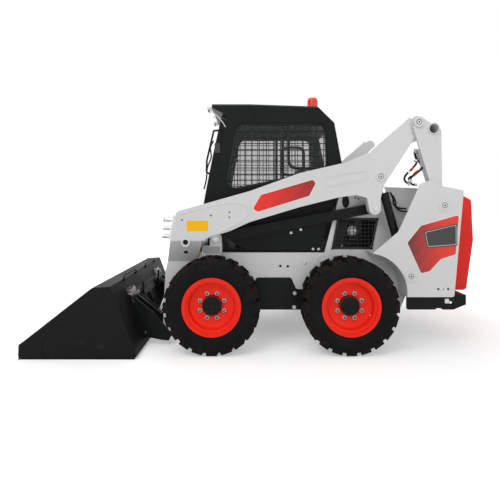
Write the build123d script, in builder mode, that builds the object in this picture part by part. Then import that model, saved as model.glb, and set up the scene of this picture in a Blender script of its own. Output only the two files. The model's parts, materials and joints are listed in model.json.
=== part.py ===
"""Skid steer loader with vertical-lift arms, a bucket and a closed cab.

Millimetres. +X points forward to the bucket, +Y to the machine's left, +Z up.
The origin is on the ground, under the middle of the machine's length.
Each sub-part is one node. Places along the machine are measured from the front or
the rear axle, and places across it from the layers of plates beside the cab.
"""

import os
from math import atan2, cos, degrees, hypot, radians, sin

from build123d import *

os.makedirs("parts", exist_ok=True)

# ---------------------------------------------------------------- driving sizes
WHEELBASE = 1070.0
FRONT_X = 358.0  # front axle
REAR_X = FRONT_X - WHEELBASE  # rear axle
TYRE_D = 750.0  # loaded diameter of a 10-16.5 tyre
TYRE_W = 264.0
RIM_D = 412.0
BUCKET_W = 1727.0
SIDE_Y = 530.0  # outside of the chassis side plate, from the middle plane
CAB_TOP = 1935.0  # top of the cab's side walls
PLATE = 12.0  # thickness of the main plates
PIN_R = 22.0  # main pivot pins
FIT = 0.3  # clearance round a pin, and under a door or hood
PIVOT_GAP = 5.0  # side clearance of an eye or a link
MOVE_GAP = 8.0  # side clearance between layers that pass each other

# ---------------------------------------------------------------- layers across the machine
LINK_T = 38.0
ARM_T = 85.0
REAR_LINK_T = 22.0
LEG_T = 86.0
CAB_Y = SIDE_Y - 60  # outside of the cab
LINK_IN_Y = SIDE_Y + 15  # control link
LINK_OUT_Y = LINK_IN_Y + LINK_T
LUG_IN_Y = LINK_OUT_Y + 7  # outer lug of the control link
LUG_OUT_Y = LUG_IN_Y + PLATE
ARM_IN_Y = LUG_OUT_Y + MOVE_GAP  # upper arm beam
ARM_OUT_Y = ARM_IN_Y + ARM_T
REAR_IN_Y = ARM_OUT_Y + MOVE_GAP  # rear link plate
REAR_OUT_Y = REAR_IN_Y + REAR_LINK_T
TOWER_Y = REAR_OUT_Y + MOVE_GAP + PLATE  # outside of the rear upright
CYL_Y = (ARM_IN_Y + ARM_OUT_Y) / 2  # lift cylinder
LEG_OUT_Y = SIDE_Y + 6  # lower arm leg, in front of the chassis
LEG_IN_Y = LEG_OUT_Y - LEG_T
TILT_Y = LEG_IN_Y - 50  # tilt cylinder
WHEEL_Y = SIDE_Y + 36 + TYRE_W / 2

# ---------------------------------------------------------------- pivots in the side view, (x, z)
PIN_A = (FRONT_X - 17, 885.0)  # control link on the chassis
PIN_B = (REAR_X - 738, 1155.0)  # rear link on the upright
PIN_C = (REAR_X - 213, 1127.0)  # control link on the arm
PIN_D = (REAR_X - 545, 1805.0)  # arm on the rear link
PIN_E = (REAR_X - 258, 1383.0)  # lift rod on the arm
PIN_G = (REAR_X - 477, 604.0)  # lift barrel on the upright
PIN_P = (FRONT_X + 384, 80.0)  # quick coupler on the arm
PIN_T1 = (FRONT_X + 220, 845.0)  # tilt barrel on the arm
PIN_T2 = (FRONT_X + 497, 233.0)  # tilt rod on the quick coupler
LIFT_STROKE = 545.0
TILT_STROKE = 352.0
TILT_ROLLBACK = 76.0  # how much shorter than at rest the tilt cylinder gets

SIDES = (("left", 1), ("right", -1))


# ---------------------------------------------------------------- helpers
def side_plane(y):
    """Side view plane at y: local x is +X, local y is +Z, extrude goes to -Y."""
    return Plane.XZ.offset(-y)


def save(builder, name):
    """Label the finished piece and write its STEP file."""
    builder.part.label = name
    export_step(builder.part, f"parts/{name}.step")


def plate(y_low, y_high, points, radius=0.0, mode=Mode.ADD):
    """Plate between two y values with a polygon outline in the side view."""
    with BuildSketch(side_plane(y_high)) as outline:
        with BuildLine():
            if radius:
                FilletPolyline(*points, radius=radius, close=True)
            else:
                Polyline(*points, close=True)
        make_face()
    extrude(outline.sketch, amount=y_high - y_low, mode=mode)


def bent_plate(y_low, y_high, points, thickness, side=Side.RIGHT, mode=Mode.ADD):
    """Plate bent along a line of points in the side view, with its thickness on one side."""
    with BuildSketch(side_plane(y_high)) as outline:
        with BuildLine():
            Polyline(*points)
            offset(amount=thickness, side=side, kind=Kind.INTERSECTION)
        make_face()
    extrude(outline.sketch, amount=y_high - y_low, mode=mode)


def curved_plate(y_low, y_high, arc, thickness, side=Side.LEFT, mode=Mode.ADD):
    """Plate curved through three points of the side view, with its thickness on one side."""
    with BuildSketch(side_plane(y_high)) as outline:
        with BuildLine():
            ThreePointArc(*arc)
            offset(amount=thickness, side=side, kind=Kind.INTERSECTION)
        make_face()
    extrude(outline.sketch, amount=y_high - y_low, mode=mode)


def disc(centre, radius, y_low, y_high, mode=Mode.ADD):
    """Round boss, pin or bore along Y."""
    with BuildSketch(side_plane(y_high)) as outline:
        with Locations(centre):
            Circle(radius)
    extrude(outline.sketch, amount=y_high - y_low, mode=mode)


def bar(a, b, radius, y_low, y_high, mode=Mode.ADD):
    """Flat bar with round ends between two points of the side view."""
    middle = ((a[0] + b[0]) / 2, (a[1] + b[1]) / 2)
    with BuildSketch(side_plane(y_high)) as outline:
        with Locations(Location(middle, angle(a, b))):
            SlotCenterToCenter(length(a, b), 2 * radius)
    extrude(outline.sketch, amount=y_high - y_low, mode=mode)


def box(x, y, z, mode=Mode.ADD):
    """Box from three (low, high) pairs."""
    centre = ((x[0] + x[1]) / 2, (y[0] + y[1]) / 2, (z[0] + z[1]) / 2)
    with Locations(centre):
        Box(x[1] - x[0], y[1] - y[0], z[1] - z[0], mode=mode)


def post(x, y, z_low, z_high, radius):
    """Round upright."""
    with BuildSketch(Plane.XY.offset(z_low)) as outline:
        with Locations((x, y)):
            Circle(radius)
    extrude(outline.sketch, amount=z_high - z_low)


def tube(points, bend, radius):
    """Round bar bent along points in space."""
    with BuildLine() as path:
        FilletPolyline(*points, radius=bend)
    with BuildSketch(Plane(origin=path.line @ 0, z_dir=path.line % 0)) as section:
        Circle(radius)
    sweep(section.sketch, path=path.line)


def both_sides(y_low, y_high):
    """The same y band on the left and on the right of the machine."""
    return ((y_low, y_high), (-y_high, -y_low))


def length(a, b):
    """Distance between two points of the side view."""
    return hypot(b[0] - a[0], b[1] - a[1])


def angle(a, b):
    """Direction from a to b in the side view, in degrees from +X towards +Z."""
    return degrees(atan2(b[1] - a[1], b[0] - a[0]))


def along(a, b, distance):
    """Point at a distance from a towards b."""
    share = distance / length(a, b)
    return (a[0] + (b[0] - a[0]) * share, a[1] + (b[1] - a[1]) * share)


def x_at(a, b, z):
    """Where the line from a to b passes a height in the side view."""
    return a[0] + (b[0] - a[0]) * (z - a[1]) / (b[1] - a[1])


def moved(points, x, z=0.0):
    """The same points, moved in the side view."""
    return tuple((point[0] + x, point[1] + z) for point in points)


# ---------------------------------------------------------------- wheels
TYRE_R = TYRE_D / 2
AXLE_R = 45.0
AXLE_FLANGE_R = 85.0
AXLE_FLANGE_T = 40.0
RIM_R = RIM_D / 2
RIM_WALL = 6.0
RIM_HALF = TYRE_W / 2 - 24  # half width between the flanges
FLANGE_R = RIM_R + 22
FLANGE_T = 8.0
DISC_OUT = 37.0  # wheel disc, outwards from the wheel's middle plane
DISC_T = 10.0
HUB_R = 76.0
HUB_OUT = 62.0
HUB_IN = -60.0
SHOULDER_DROP = 30.0
TREAD_HALF = TYRE_W / 2 - 16
SHOULDER_HALF = TYRE_W / 2 - 4
HUB_SHOULDER = 20.0  # how far the hub behind the disc stands out round the axle
BEAD_HALF = RIM_HALF - FIT
BEAD_TOP = FLANGE_R + 4
NUTS = 8
NUT_CIRCLE_R = 101.5
STUD_R = 8.0
STUD_OUT = 22.0


def wheel_plane(x, hand):
    """Plane of a wheel's half section: local x is outwards along the axle, local y is +Z."""
    return Plane(origin=(x, hand * WHEEL_Y, TYRE_R), x_dir=(0, hand, 0), z_dir=(hand, 0, 0))


def tyre(x, hand):
    """Carcass with its tread blocks' envelope; the beads sit between the rim flanges."""
    shoulder_r = TYRE_R - SHOULDER_DROP
    bulge_r = (shoulder_r + BEAD_TOP) / 2
    with BuildPart() as piece:
        with BuildSketch(wheel_plane(x, hand)):
            with BuildLine():
                tread = Line((-TREAD_HALF, TYRE_R), (TREAD_HALF, TYRE_R))
                out_shoulder = Line(tread @ 1, (SHOULDER_HALF, shoulder_r))
                out_wall = ThreePointArc(out_shoulder @ 1, (TYRE_W / 2, bulge_r), (BEAD_HALF, BEAD_TOP))
                bead = Polyline(
                    out_wall @ 1,
                    (BEAD_HALF, RIM_R + FIT),
                    (-BEAD_HALF, RIM_R + FIT),
                    (-BEAD_HALF, BEAD_TOP),
                )
                in_wall = ThreePointArc(bead @ 1, (-TYRE_W / 2, bulge_r), (-SHOULDER_HALF, shoulder_r))
                Line(in_wall @ 1, tread @ 0)
            make_face()
        revolve(axis=Axis((x, 0, TYRE_R), (0, 1, 0)))
    return piece


def rim(x, hand):
    """Steel rim with its disc, hub and studs."""
    lip = RIM_HALF + FLANGE_T
    inner = RIM_R - RIM_WALL
    boss_r = HUB_R + HUB_SHOULDER
    with BuildPart() as piece:
        with BuildSketch(wheel_plane(x, hand)):
            with BuildLine():
                Polyline(
                    (-lip, inner),
                    (-lip, FLANGE_R),
                    (-RIM_HALF, FLANGE_R),
                    (-RIM_HALF, RIM_R),
                    (RIM_HALF, RIM_R),
                    (RIM_HALF, FLANGE_R),
                    (lip, FLANGE_R),
                    (lip, inner),
                    (DISC_OUT, inner),
                    (DISC_OUT, HUB_R),
                    (HUB_OUT, HUB_R),
                    (HUB_OUT, 0),
                    (0, 0),
                    (0, AXLE_R + FIT),
                    (HUB_IN, AXLE_R + FIT),
                    (HUB_IN, boss_r),
                    (DISC_OUT - DISC_T, boss_r),
                    (DISC_OUT - DISC_T, inner),
                    close=True,
                )
            make_face()
        revolve(axis=Axis((x, 0, TYRE_R), (0, 1, 0)))
        disc_face = Plane(origin=(x, hand * (WHEEL_Y + DISC_OUT), TYRE_R), z_dir=(0, hand, 0))
        with BuildSketch(disc_face) as studs:
            with PolarLocations(NUT_CIRCLE_R, NUTS, start_angle=180 / NUTS):
                Circle(STUD_R)
        extrude(studs.sketch, amount=STUD_OUT)
    return piece


AXLES = (("front", FRONT_X), ("rear", REAR_X))
for end, axle_x in AXLES:
    for side, hand in SIDES:
        save(tyre(axle_x, hand), f"tyre_{end}_{side}")
        save(rim(axle_x, hand), f"rim_{end}_{side}")

with BuildPart() as axle_housings:
    for end, axle_x in AXLES:
        wheel_centre = (axle_x, TYRE_R)
        for low, high in both_sides(SIDE_Y, WHEEL_Y - 1):
            disc(wheel_centre, AXLE_R, low, high)
        for low, high in both_sides(SIDE_Y, SIDE_Y + AXLE_FLANGE_T):
            disc(wheel_centre, AXLE_FLANGE_R, low, high)
save(axle_housings, "axle_housings")

# ---------------------------------------------------------------- chassis
TUB_BOTTOM = 290.0
SILL_Z = 441.0  # bottom behind the rear wheels
NOSE_Z = 560.0
TUB_TOP = 762.0
DECK_Z = 1240.0  # top of the engine bay
TUB_FRONT = FRONT_X + 62
BAY_FRONT = FRONT_X - 1038
BELLY_REAR = REAR_X - 468
TOWER_REAR = REAR_X - 888
# arch over the rear tyre, in the uprights
ARCH_CENTRE = (REAR_X - 140, TYRE_R + 96)
ARCH_R = TYRE_R - 59
ARCH_T = 6.0
LUG_R = 48.0
PIN_HEAD = 6.0  # how far a pin stands out of its plate
PRESS = 0.1  # clearance of a fixed pin

# front wall, belly and rear sill, bent from one plate
BELLY_LINE = (
    (TUB_FRONT, TUB_TOP),
    (TUB_FRONT, NOSE_Z),
    (TUB_FRONT - 120, TUB_BOTTOM),
    (BELLY_REAR, TUB_BOTTOM),
    (BELLY_REAR - 60, SILL_Z),
    (TOWER_REAR, SILL_Z),
)
SIDE_OUTLINE = (*BELLY_LINE, (TOWER_REAR, DECK_Z), (BAY_FRONT, DECK_Z), (BAY_FRONT + 125, TUB_TOP))
SIDE_WINDOW = ((REAR_X + 22, 800), (REAR_X - 228, 800), (REAR_X - 278, 1050), (REAR_X - 48, 1050))
TOWER_HEEL = (REAR_X - 814, SILL_Z)
TOWER_TOE = (ARCH_CENTRE[0] - ARCH_R + 1, SILL_Z)
ARCH_TIP = (ARCH_CENTRE[0] - 43, ARCH_CENTRE[1] + ARCH_R - 3)
# rear wall and bottom of an upright
TOWER_WALL = ((TOWER_REAR, 1270), TOWER_HEEL, TOWER_TOE)
TOWER_OUTLINE = (
    (REAR_X - 627, 1352),
    (REAR_X - 720, 1305),
    (TOWER_REAR, 1270),
    TOWER_HEEL,
    TOWER_TOE,
    ARCH_TIP,
    (REAR_X - 378, 947),
    (REAR_X - 448, 1095),
    (REAR_X - 549, 1321),
)
HATCH_HINGE_R = 14.0
HATCH_PIN_R = 7.0
HINGE_GAP = 1.0
GATE_HINGE = (REAR_X - 988, SIDE_Y - 10)  # tailgate hinge in plan: x and distance from the middle
GATE_HINGE_ZS = (540.0, 1120.0)
GATE_KNUCKLE = 40.0
HOOD_HINGE = (FRONT_X - 1070, DECK_Z + 18)
SERVICE_HOLES = ((REAR_X - 690, 503, 10), (REAR_X - 729, 503, 5), (REAR_X - 768, 503, 10))

with BuildPart() as chassis_frame:
    for low, high in both_sides(SIDE_Y - PLATE, SIDE_Y):
        plate(low, high, SIDE_OUTLINE)
        plate(low, high, SIDE_WINDOW, radius=30, mode=Mode.SUBTRACT)
        bar((PIN_A[0], TUB_TOP - LUG_R), PIN_A, LUG_R, low, high)
        bar((HOOD_HINGE[0], DECK_Z - HATCH_HINGE_R), HOOD_HINGE, HATCH_HINGE_R, low, high)
    # outer lug of each control link on its saddle
    saddle_x = (PIN_A[0] - LUG_R + 4, PIN_A[0] + LUG_R - 4)
    saddle_top = PIN_A[1] - LUG_R - MOVE_GAP
    for low, high in both_sides(SIDE_Y, LUG_OUT_Y):
        box(saddle_x, (low, high), (TUB_TOP, saddle_top))
    for low, high in both_sides(LUG_IN_Y, LUG_OUT_Y):
        bar((PIN_A[0], TUB_TOP + LUG_R), PIN_A, LUG_R, low, high)
    bent_plate(-SIDE_Y, SIDE_Y, BELLY_LINE, PLATE)
    for low, high in both_sides(SIDE_Y - PLATE, LUG_OUT_Y):
        disc(PIN_A, PIN_R + PRESS, low, high, mode=Mode.SUBTRACT)
    for low, high in both_sides(SIDE_Y - PLATE, SIDE_Y):
        for pin in (PIN_B, PIN_G):
            disc(pin, PIN_R + PRESS, low, high, mode=Mode.SUBTRACT)
    # hinge pins of the hood, inwards from the side plates
    for low, high in both_sides(SIDE_Y - 3 * PLATE, SIDE_Y):
        disc(HOOD_HINGE, HATCH_PIN_R, low, high)
    # tailgate hinges on the right side plate
    strap_x = (GATE_HINGE[0], TOWER_REAR + 10)
    for hinge_z in GATE_HINGE_ZS:
        box(strap_x, (-SIDE_Y, PLATE - SIDE_Y), (hinge_z, hinge_z + GATE_KNUCKLE))
        post(GATE_HINGE[0], -GATE_HINGE[1], hinge_z, hinge_z + GATE_KNUCKLE, HATCH_HINGE_R)
        post(GATE_HINGE[0], -GATE_HINGE[1], hinge_z, hinge_z + 2 * GATE_KNUCKLE, HATCH_PIN_R)
save(chassis_frame, "chassis_frame")


def arch_point(direction):
    """Point on the arch over the rear tyre, at an angle from +X towards +Z."""
    turn = radians(direction)
    return (ARCH_CENTRE[0] + ARCH_R * cos(turn), ARCH_CENTRE[1] + ARCH_R * sin(turn))


with BuildPart() as rear_uprights:
    toe_angle = angle(ARCH_CENTRE, TOWER_TOE) % 360
    tip_angle = angle(ARCH_CENTRE, ARCH_TIP)
    arch = (arch_point(toe_angle), arch_point((toe_angle + tip_angle) / 2), arch_point(tip_angle))
    for low, high in both_sides(TOWER_Y - PLATE, TOWER_Y):
        plate(low, high, TOWER_OUTLINE, radius=18)
        disc(ARCH_CENTRE, ARCH_R, low, high, mode=Mode.SUBTRACT)
        for hole_x, hole_z, hole_r in SERVICE_HOLES:
            disc((hole_x, hole_z), hole_r, low, high, mode=Mode.SUBTRACT)
    for low, high in both_sides(SIDE_Y, TOWER_Y - PLATE):
        bent_plate(low, high, TOWER_WALL, PLATE, side=Side.LEFT)
    for low, high in both_sides(SIDE_Y, TOWER_Y):
        curved_plate(low, high, arch, ARCH_T, side=Side.RIGHT)
    for low, high in both_sides(TOWER_Y - PLATE, TOWER_Y + PIN_HEAD):
        for pin in (PIN_B, PIN_G):
            disc(pin, LUG_R, low, high)
            disc(pin, PIN_R + PRESS, low, high, mode=Mode.SUBTRACT)
save(rear_uprights, "rear_uprights")

GUARD_T = 6.0
GUARD_RISE = 97.0  # of the middle of a guard above its ends
GUARD_OUTLINE = (
    (FRONT_X - 258, TUB_BOTTOM + 2),
    (FRONT_X - 258, SILL_Z + 18),
    (FRONT_X - 306, SILL_Z + 18),
    (FRONT_X - 350, SILL_Z + 18 + GUARD_RISE),
    (REAR_X + 435, SILL_Z + 18 + GUARD_RISE),
    (REAR_X + 392, SILL_Z + 18),
    (REAR_X + 252, SILL_Z + 18),
    (REAR_X + 252, TUB_BOTTOM + 2),
)
with BuildPart() as belly_guards:
    for low, high in both_sides(SIDE_Y, SIDE_Y + GUARD_T):
        plate(low, high, GUARD_OUTLINE, radius=20)
save(belly_guards, "belly_guards")

with BuildPart() as pivot_pins:
    for low, high in both_sides(SIDE_Y - PLATE, LUG_OUT_Y + PIN_HEAD):
        disc(PIN_A, PIN_R, low, high)
    for low, high in both_sides(SIDE_Y - PLATE, TOWER_Y + PIN_HEAD):
        disc(PIN_B, PIN_R, low, high)
        disc(PIN_G, PIN_R, low, high)
save(pivot_pins, "pivot_pins")

CASE_L, CASE_W, CASE_DEPTH = 900.0, 440.0, 85.0
with BuildPart() as transmission_case:
    with BuildSketch(Plane.XY.offset(TUB_BOTTOM)):
        with Locations(((FRONT_X + REAR_X) / 2 + 12, 0)):
            RectangleRounded(CASE_L, CASE_W, 60)
    extrude(amount=-CASE_DEPTH, taper=12)
save(transmission_case, "transmission_case")

BUMPER_Y = SIDE_Y + 110
BUMPER_T = 6.0
BUMPER_LOW = 317.0
BUMPER_FRONT = REAR_X - 493
BUMPER_REAR = REAR_X - 959
TIE_DOWN = (REAR_X - 848, 376.0)
TIE_DOWN_R = 22.0
TIE_DOWN_T = 42.0
# folded box with a chamfered lower rear corner and a notch below
BUMPER_OUTLINE = (
    (BUMPER_FRONT, BUMPER_LOW),
    (BUMPER_FRONT - 220, BUMPER_LOW),
    (BUMPER_FRONT - 228, BUMPER_LOW + 11),
    (BUMPER_FRONT - 272, BUMPER_LOW + 11),
    (BUMPER_FRONT - 280, BUMPER_LOW),
    (BUMPER_FRONT - 365, BUMPER_LOW),
    (BUMPER_REAR, BUMPER_LOW + 41),
    (BUMPER_REAR, SILL_Z),
    (BUMPER_FRONT, SILL_Z),
)
with BuildPart() as rear_bumper:
    plate(-BUMPER_Y, BUMPER_Y, BUMPER_OUTLINE)
    inside_y = BUMPER_Y - TIE_DOWN_T
    inside_x = (BUMPER_REAR + 40, BUMPER_FRONT + PLATE)
    box(inside_x, (-inside_y, inside_y), (BUMPER_LOW - 1, SILL_Z + 1), mode=Mode.SUBTRACT)
    # only a flange at each end is bolted to the uprights
    top_z = (SILL_Z - BUMPER_T, SILL_Z)
    box((BUMPER_REAR, BUMPER_FRONT), (-BUMPER_Y, BUMPER_Y), top_z, mode=Mode.SUBTRACT)
    for low, high in both_sides(inside_y - 38, BUMPER_Y):
        box((TOWER_HEEL[0] + 6, TOWER_TOE[0] - 48), (low, high), top_z)
    for low, high in both_sides(inside_y, BUMPER_Y):
        disc(TIE_DOWN, TIE_DOWN_R, low, high, mode=Mode.SUBTRACT)
save(rear_bumper, "rear_bumper")

ENGINE_SUMP_Z = SILL_Z + PLATE
with BuildPart() as engine_block:
    # oil pan on the sill, crankcase, head and cooling pack in line
    box((REAR_X - 768, REAR_X - 530), (-150, 150), (ENGINE_SUMP_Z, 560))
    box((REAR_X - 768, REAR_X - 230), (-190, 190), (560, 860))
    box((REAR_X - 740, REAR_X - 260), (-120, 120), (860, 1010))
    box((REAR_X - 860, REAR_X - 820), (-300, 300), (ENGINE_SUMP_Z, 1130))
    box((REAR_X - 820, REAR_X - 768), (-60, 60), (600, 720))
save(engine_block, "engine_block")

GRILLE_T = 6.0
GRILLE_LAP = 18.0
with BuildPart() as side_grilles:
    for low, high in both_sides(SIDE_Y - PLATE - GRILLE_T, SIDE_Y - PLATE):
        (front_x, low_z), (rear_x, _), (top_rear_x, top_z), (top_front_x, _) = SIDE_WINDOW
        grille = (
            (front_x + GRILLE_LAP, low_z - GRILLE_LAP),
            (rear_x - GRILLE_LAP, low_z - GRILLE_LAP),
            (top_rear_x - GRILLE_LAP, top_z + GRILLE_LAP),
            (top_front_x + GRILLE_LAP, top_z + GRILLE_LAP),
        )
        plate(low, high, grille)
save(side_grilles, "side_grilles")

# ---------------------------------------------------------------- cab
CAB_WALL = 24.0
CAB_IN = CAB_Y - CAB_WALL
FLOOR_TOP = TUB_TOP + CAB_WALL
CAB_REAR = FRONT_X - 880  # rear wall at the floor
DOOR_T = 30.0
DOOR_LOW_Z = 905.0
# front face of the door: foot, middle and head
DOOR_ARC = ((FRONT_X + 142, DOOR_LOW_Z), (FRONT_X + 90, 1210), (FRONT_X - 50, CAB_TOP - 45))
PILLAR_STEP = 12.0  # how far the pillar stands out beside the door frame
PILLAR_FRONT = ((FRONT_X + 62, DOOR_LOW_Z), (FRONT_X - 94, CAB_TOP - 35))
REAR_WALL_LINE = (
    (CAB_REAR, TUB_TOP),
    (CAB_REAR - 126, 1198),
    (CAB_REAR - 193, 1491),
    (CAB_REAR - 126, CAB_TOP - 85),
    (CAB_REAR - 38, CAB_TOP),
)
CAB_SIDE = (
    (FRONT_X - 295, TUB_TOP),
    *REAR_WALL_LINE,
    (FRONT_X - 68, CAB_TOP),
    DOOR_ARC[2],
    DOOR_ARC[1],
    DOOR_ARC[0],
    (FRONT_X - 27, DOOR_LOW_Z),
)
WINDOW_TOP = CAB_TOP - 85
CAB_WINDOW = (
    (FRONT_X - 178, WINDOW_TOP),
    (CAB_REAR - 59, WINDOW_TOP),
    (CAB_REAR - 76, 1449),
    (FRONT_X - 69, 1265),
)
WINDOW_CORNER = 90.0
SCREEN_LAP = 20.0
SCREEN = (
    (FRONT_X - 178 + SCREEN_LAP, WINDOW_TOP + SCREEN_LAP),
    (CAB_REAR - 59 - SCREEN_LAP, WINDOW_TOP + SCREEN_LAP),
    (CAB_REAR - 76 - SCREEN_LAP, 1449 - SCREEN_LAP),
    (FRONT_X - 69 + SCREEN_LAP, 1265 - SCREEN_LAP),
)
DOOR_HINGE = ((FRONT_X + 72, 1200), (FRONT_X + 42, 1350))  # two points of the hinge line
DOOR_HINGE_Y = CAB_Y + 3
DOOR_KNUCKLE_R = 12.0
DOOR_PIN_R = 6.0
DOOR_KNUCKLE = 30.0
STRAP_INSET = 4.0  # of a strap from its knuckle's ends
DOOR_KNUCKLES = (-150.0, 420.0)  # places of the hinges along that line, from its first point


def door_hinge_plane(distance):
    """Plane square to the door's hinge line on the right side of the cab."""
    x, z = along(DOOR_HINGE[0], DOOR_HINGE[1], distance)
    run = (DOOR_HINGE[1][0] - DOOR_HINGE[0][0], 0, DOOR_HINGE[1][1] - DOOR_HINGE[0][1])
    return Plane(origin=(x, -DOOR_HINGE_Y, z), x_dir=(0, 1, 0), z_dir=run)


def door_knuckle(distance, radius, reach, mode=Mode.ADD):
    """Round knuckle, pin or bore along the door's hinge line."""
    with BuildSketch(door_hinge_plane(distance)) as outline:
        Circle(radius)
    extrude(outline.sketch, amount=reach, mode=mode)


def door_strap(distance, y_low, y_high, x_back, x_front):
    """Flat strap from a knuckle to what it is welded to, as tall as the knuckle."""
    lower = along(DOOR_HINGE[0], DOOR_HINGE[1], distance + STRAP_INSET)
    upper = along(DOOR_HINGE[0], DOOR_HINGE[1], distance + DOOR_KNUCKLE - STRAP_INSET)
    strap = (
        (lower[0] + x_back, lower[1]),
        (lower[0] + x_front, lower[1]),
        (upper[0] + x_front, upper[1]),
        (upper[0] + x_back, upper[1]),
    )
    plate(y_low, y_high, strap)


for side, hand in SIDES:
    low, high = sorted((hand * CAB_IN, hand * CAB_Y))
    step_low, step_high = sorted((hand * (CAB_Y - PILLAR_STEP), hand * CAB_Y))
    with BuildPart() as cab_side:
        plate(low, high, CAB_SIDE)
        plate(low, high, CAB_WINDOW, radius=WINDOW_CORNER, mode=Mode.SUBTRACT)
        # the pillar steps back to the door frame, and the door closes on that
        frame_strip = (*PILLAR_FRONT, moved(PILLAR_FRONT, 120)[1], moved(PILLAR_FRONT, 120)[0])
        plate(step_low, step_high, frame_strip, mode=Mode.SUBTRACT)
        curved_plate(low, high, DOOR_ARC, DOOR_T + FIT, mode=Mode.SUBTRACT)
        head_x = DOOR_ARC[2][0]
        head_z = DOOR_ARC[2][1]
        box((head_x - 50, head_x + 50), (low, high), (head_z - 20, head_z + 4), mode=Mode.SUBTRACT)
        if hand < 0:
            for distance in DOOR_KNUCKLES:
                door_knuckle(distance, DOOR_KNUCKLE_R, DOOR_KNUCKLE)
                door_knuckle(distance, DOOR_PIN_R, 2 * DOOR_KNUCKLE)
                door_strap(distance, -CAB_Y - 8, -CAB_Y + 2, -150, 0)
    save(cab_side, f"cab_side_{side}")

VISOR_FRONT = FRONT_X + 27
ROOF_TOP = CAB_TOP + 74
ROOF_OUTLINE = (
    (VISOR_FRONT, ROOF_TOP),
    (VISOR_FRONT, ROOF_TOP - 34),
    (FRONT_X - 58, CAB_TOP),
    (CAB_REAR - 38, CAB_TOP),
    (CAB_REAR + 16, CAB_TOP + 55),
    (FRONT_X - 298, ROOF_TOP),
)
BEACON_AT = (FRONT_X - 862, 200)
BEACON_BASE = CAB_TOP + 70
BEACON_FOOT_R = 62.0
BEACON_R = 50.0
BEACON_H = 121.0
with BuildPart() as cab_roof:
    plate(-CAB_Y, CAB_Y, ROOF_OUTLINE)
    chamfer(cab_roof.edges().filter_by(Axis.X).group_by(Axis.Z)[-1], 14)
    post(*BEACON_AT, BEACON_BASE - 30, BEACON_BASE, BEACON_FOOT_R)
save(cab_roof, "cab_roof")

with BuildPart() as beacon:
    post(*BEACON_AT, BEACON_BASE, BEACON_BASE + BEACON_H, BEACON_R)
    fillet(beacon.edges().group_by(Axis.Z)[-1], 30)
save(beacon, "beacon")

LIGHT_Y = 330.0
with BuildPart() as work_lights:
    for light_y in (-LIGHT_Y, LIGHT_Y):
        box((VISOR_FRONT, VISOR_FRONT + 45), (light_y - 60, light_y + 60), (ROOF_TOP - 33, ROOF_TOP - 4))
    fillet(work_lights.edges().filter_by(Axis.X), 8)
save(work_lights, "work_lights")

REAR_GLASS_Y = 330.0
REAR_GLASS_Z = (1500.0, CAB_TOP - 105)
with BuildPart() as cab_rear_wall:
    bent_plate(-CAB_IN, CAB_IN, REAR_WALL_LINE, CAB_WALL)
    glass_x = (CAB_REAR - 200, CAB_REAR - 60)
    box(glass_x, (-REAR_GLASS_Y, REAR_GLASS_Y), REAR_GLASS_Z, mode=Mode.SUBTRACT)
save(cab_rear_wall, "cab_rear_wall")

FLOOR_FRONT = FRONT_X + 62
with BuildPart() as cab_floor:
    floor_line = ((CAB_REAR + CAB_WALL, TUB_TOP), (FLOOR_FRONT, TUB_TOP), (FLOOR_FRONT, DOOR_LOW_Z))
    bent_plate(-CAB_IN, CAB_IN, floor_line, CAB_WALL, side=Side.LEFT)
save(cab_floor, "cab_floor")

SCREEN_T = 5.0
SCREEN_ROD = 6.0
SCREEN_RODS = 6
SCREEN_ROWS = 4
GLASS_T = 5.0
with BuildPart() as cab_side_screens:
    for low, high in both_sides(CAB_IN - SCREEN_T, CAB_IN):
        plate(low, high, SCREEN, radius=WINDOW_CORNER)
        plate(low, high, CAB_WINDOW, radius=WINDOW_CORNER, mode=Mode.SUBTRACT)
    for low, high in both_sides(CAB_IN - SCREEN_T, CAB_IN):
        screen_width = SCREEN[0][0] - SCREEN[1][0]
        screen_height = WINDOW_TOP - CAB_WINDOW[2][1]
        for rod in range(1, SCREEN_RODS + 1):
            rod_x = SCREEN[1][0] + screen_width * rod / (SCREEN_RODS + 1)
            slope = (CAB_WINDOW[2][1] - CAB_WINDOW[3][1]) / (CAB_WINDOW[3][0] - CAB_WINDOW[2][0])
            rod_low = CAB_WINDOW[2][1] - slope * (rod_x - CAB_WINDOW[2][0]) - SCREEN_ROD
            box((rod_x, rod_x + SCREEN_ROD), (low, high), (rod_low, WINDOW_TOP + SCREEN_ROD))
        for row in range(1, SCREEN_ROWS + 1):
            row_z = WINDOW_TOP - screen_height * row / (SCREEN_ROWS + 1)
            row_x = (CAB_WINDOW[2][0] + SCREEN_ROD, CAB_WINDOW[0][0] + SCREEN_ROD)
            box(row_x, (low, high), (row_z, row_z + SCREEN_ROD))
save(cab_side_screens, "cab_side_screens")

with BuildPart() as cab_glass:
    # rear pane, in the opening of the wall's upper slope
    knee, head = REAR_WALL_LINE[2], REAR_WALL_LINE[3]
    pane_low = (x_at(knee, head, REAR_GLASS_Z[0]) + 8, REAR_GLASS_Z[0])
    pane_high = (x_at(knee, head, REAR_GLASS_Z[1]) + 8, REAR_GLASS_Z[1])
    pane = (pane_low, *moved((pane_low, pane_high), GLASS_T), pane_high)
    plate(-REAR_GLASS_Y, REAR_GLASS_Y, pane)
    for low, high in both_sides(CAB_IN - SCREEN_T - GLASS_T, CAB_IN - SCREEN_T):
        plate(low, high, SCREEN, radius=WINDOW_CORNER)
save(cab_glass, "cab_glass")

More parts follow.
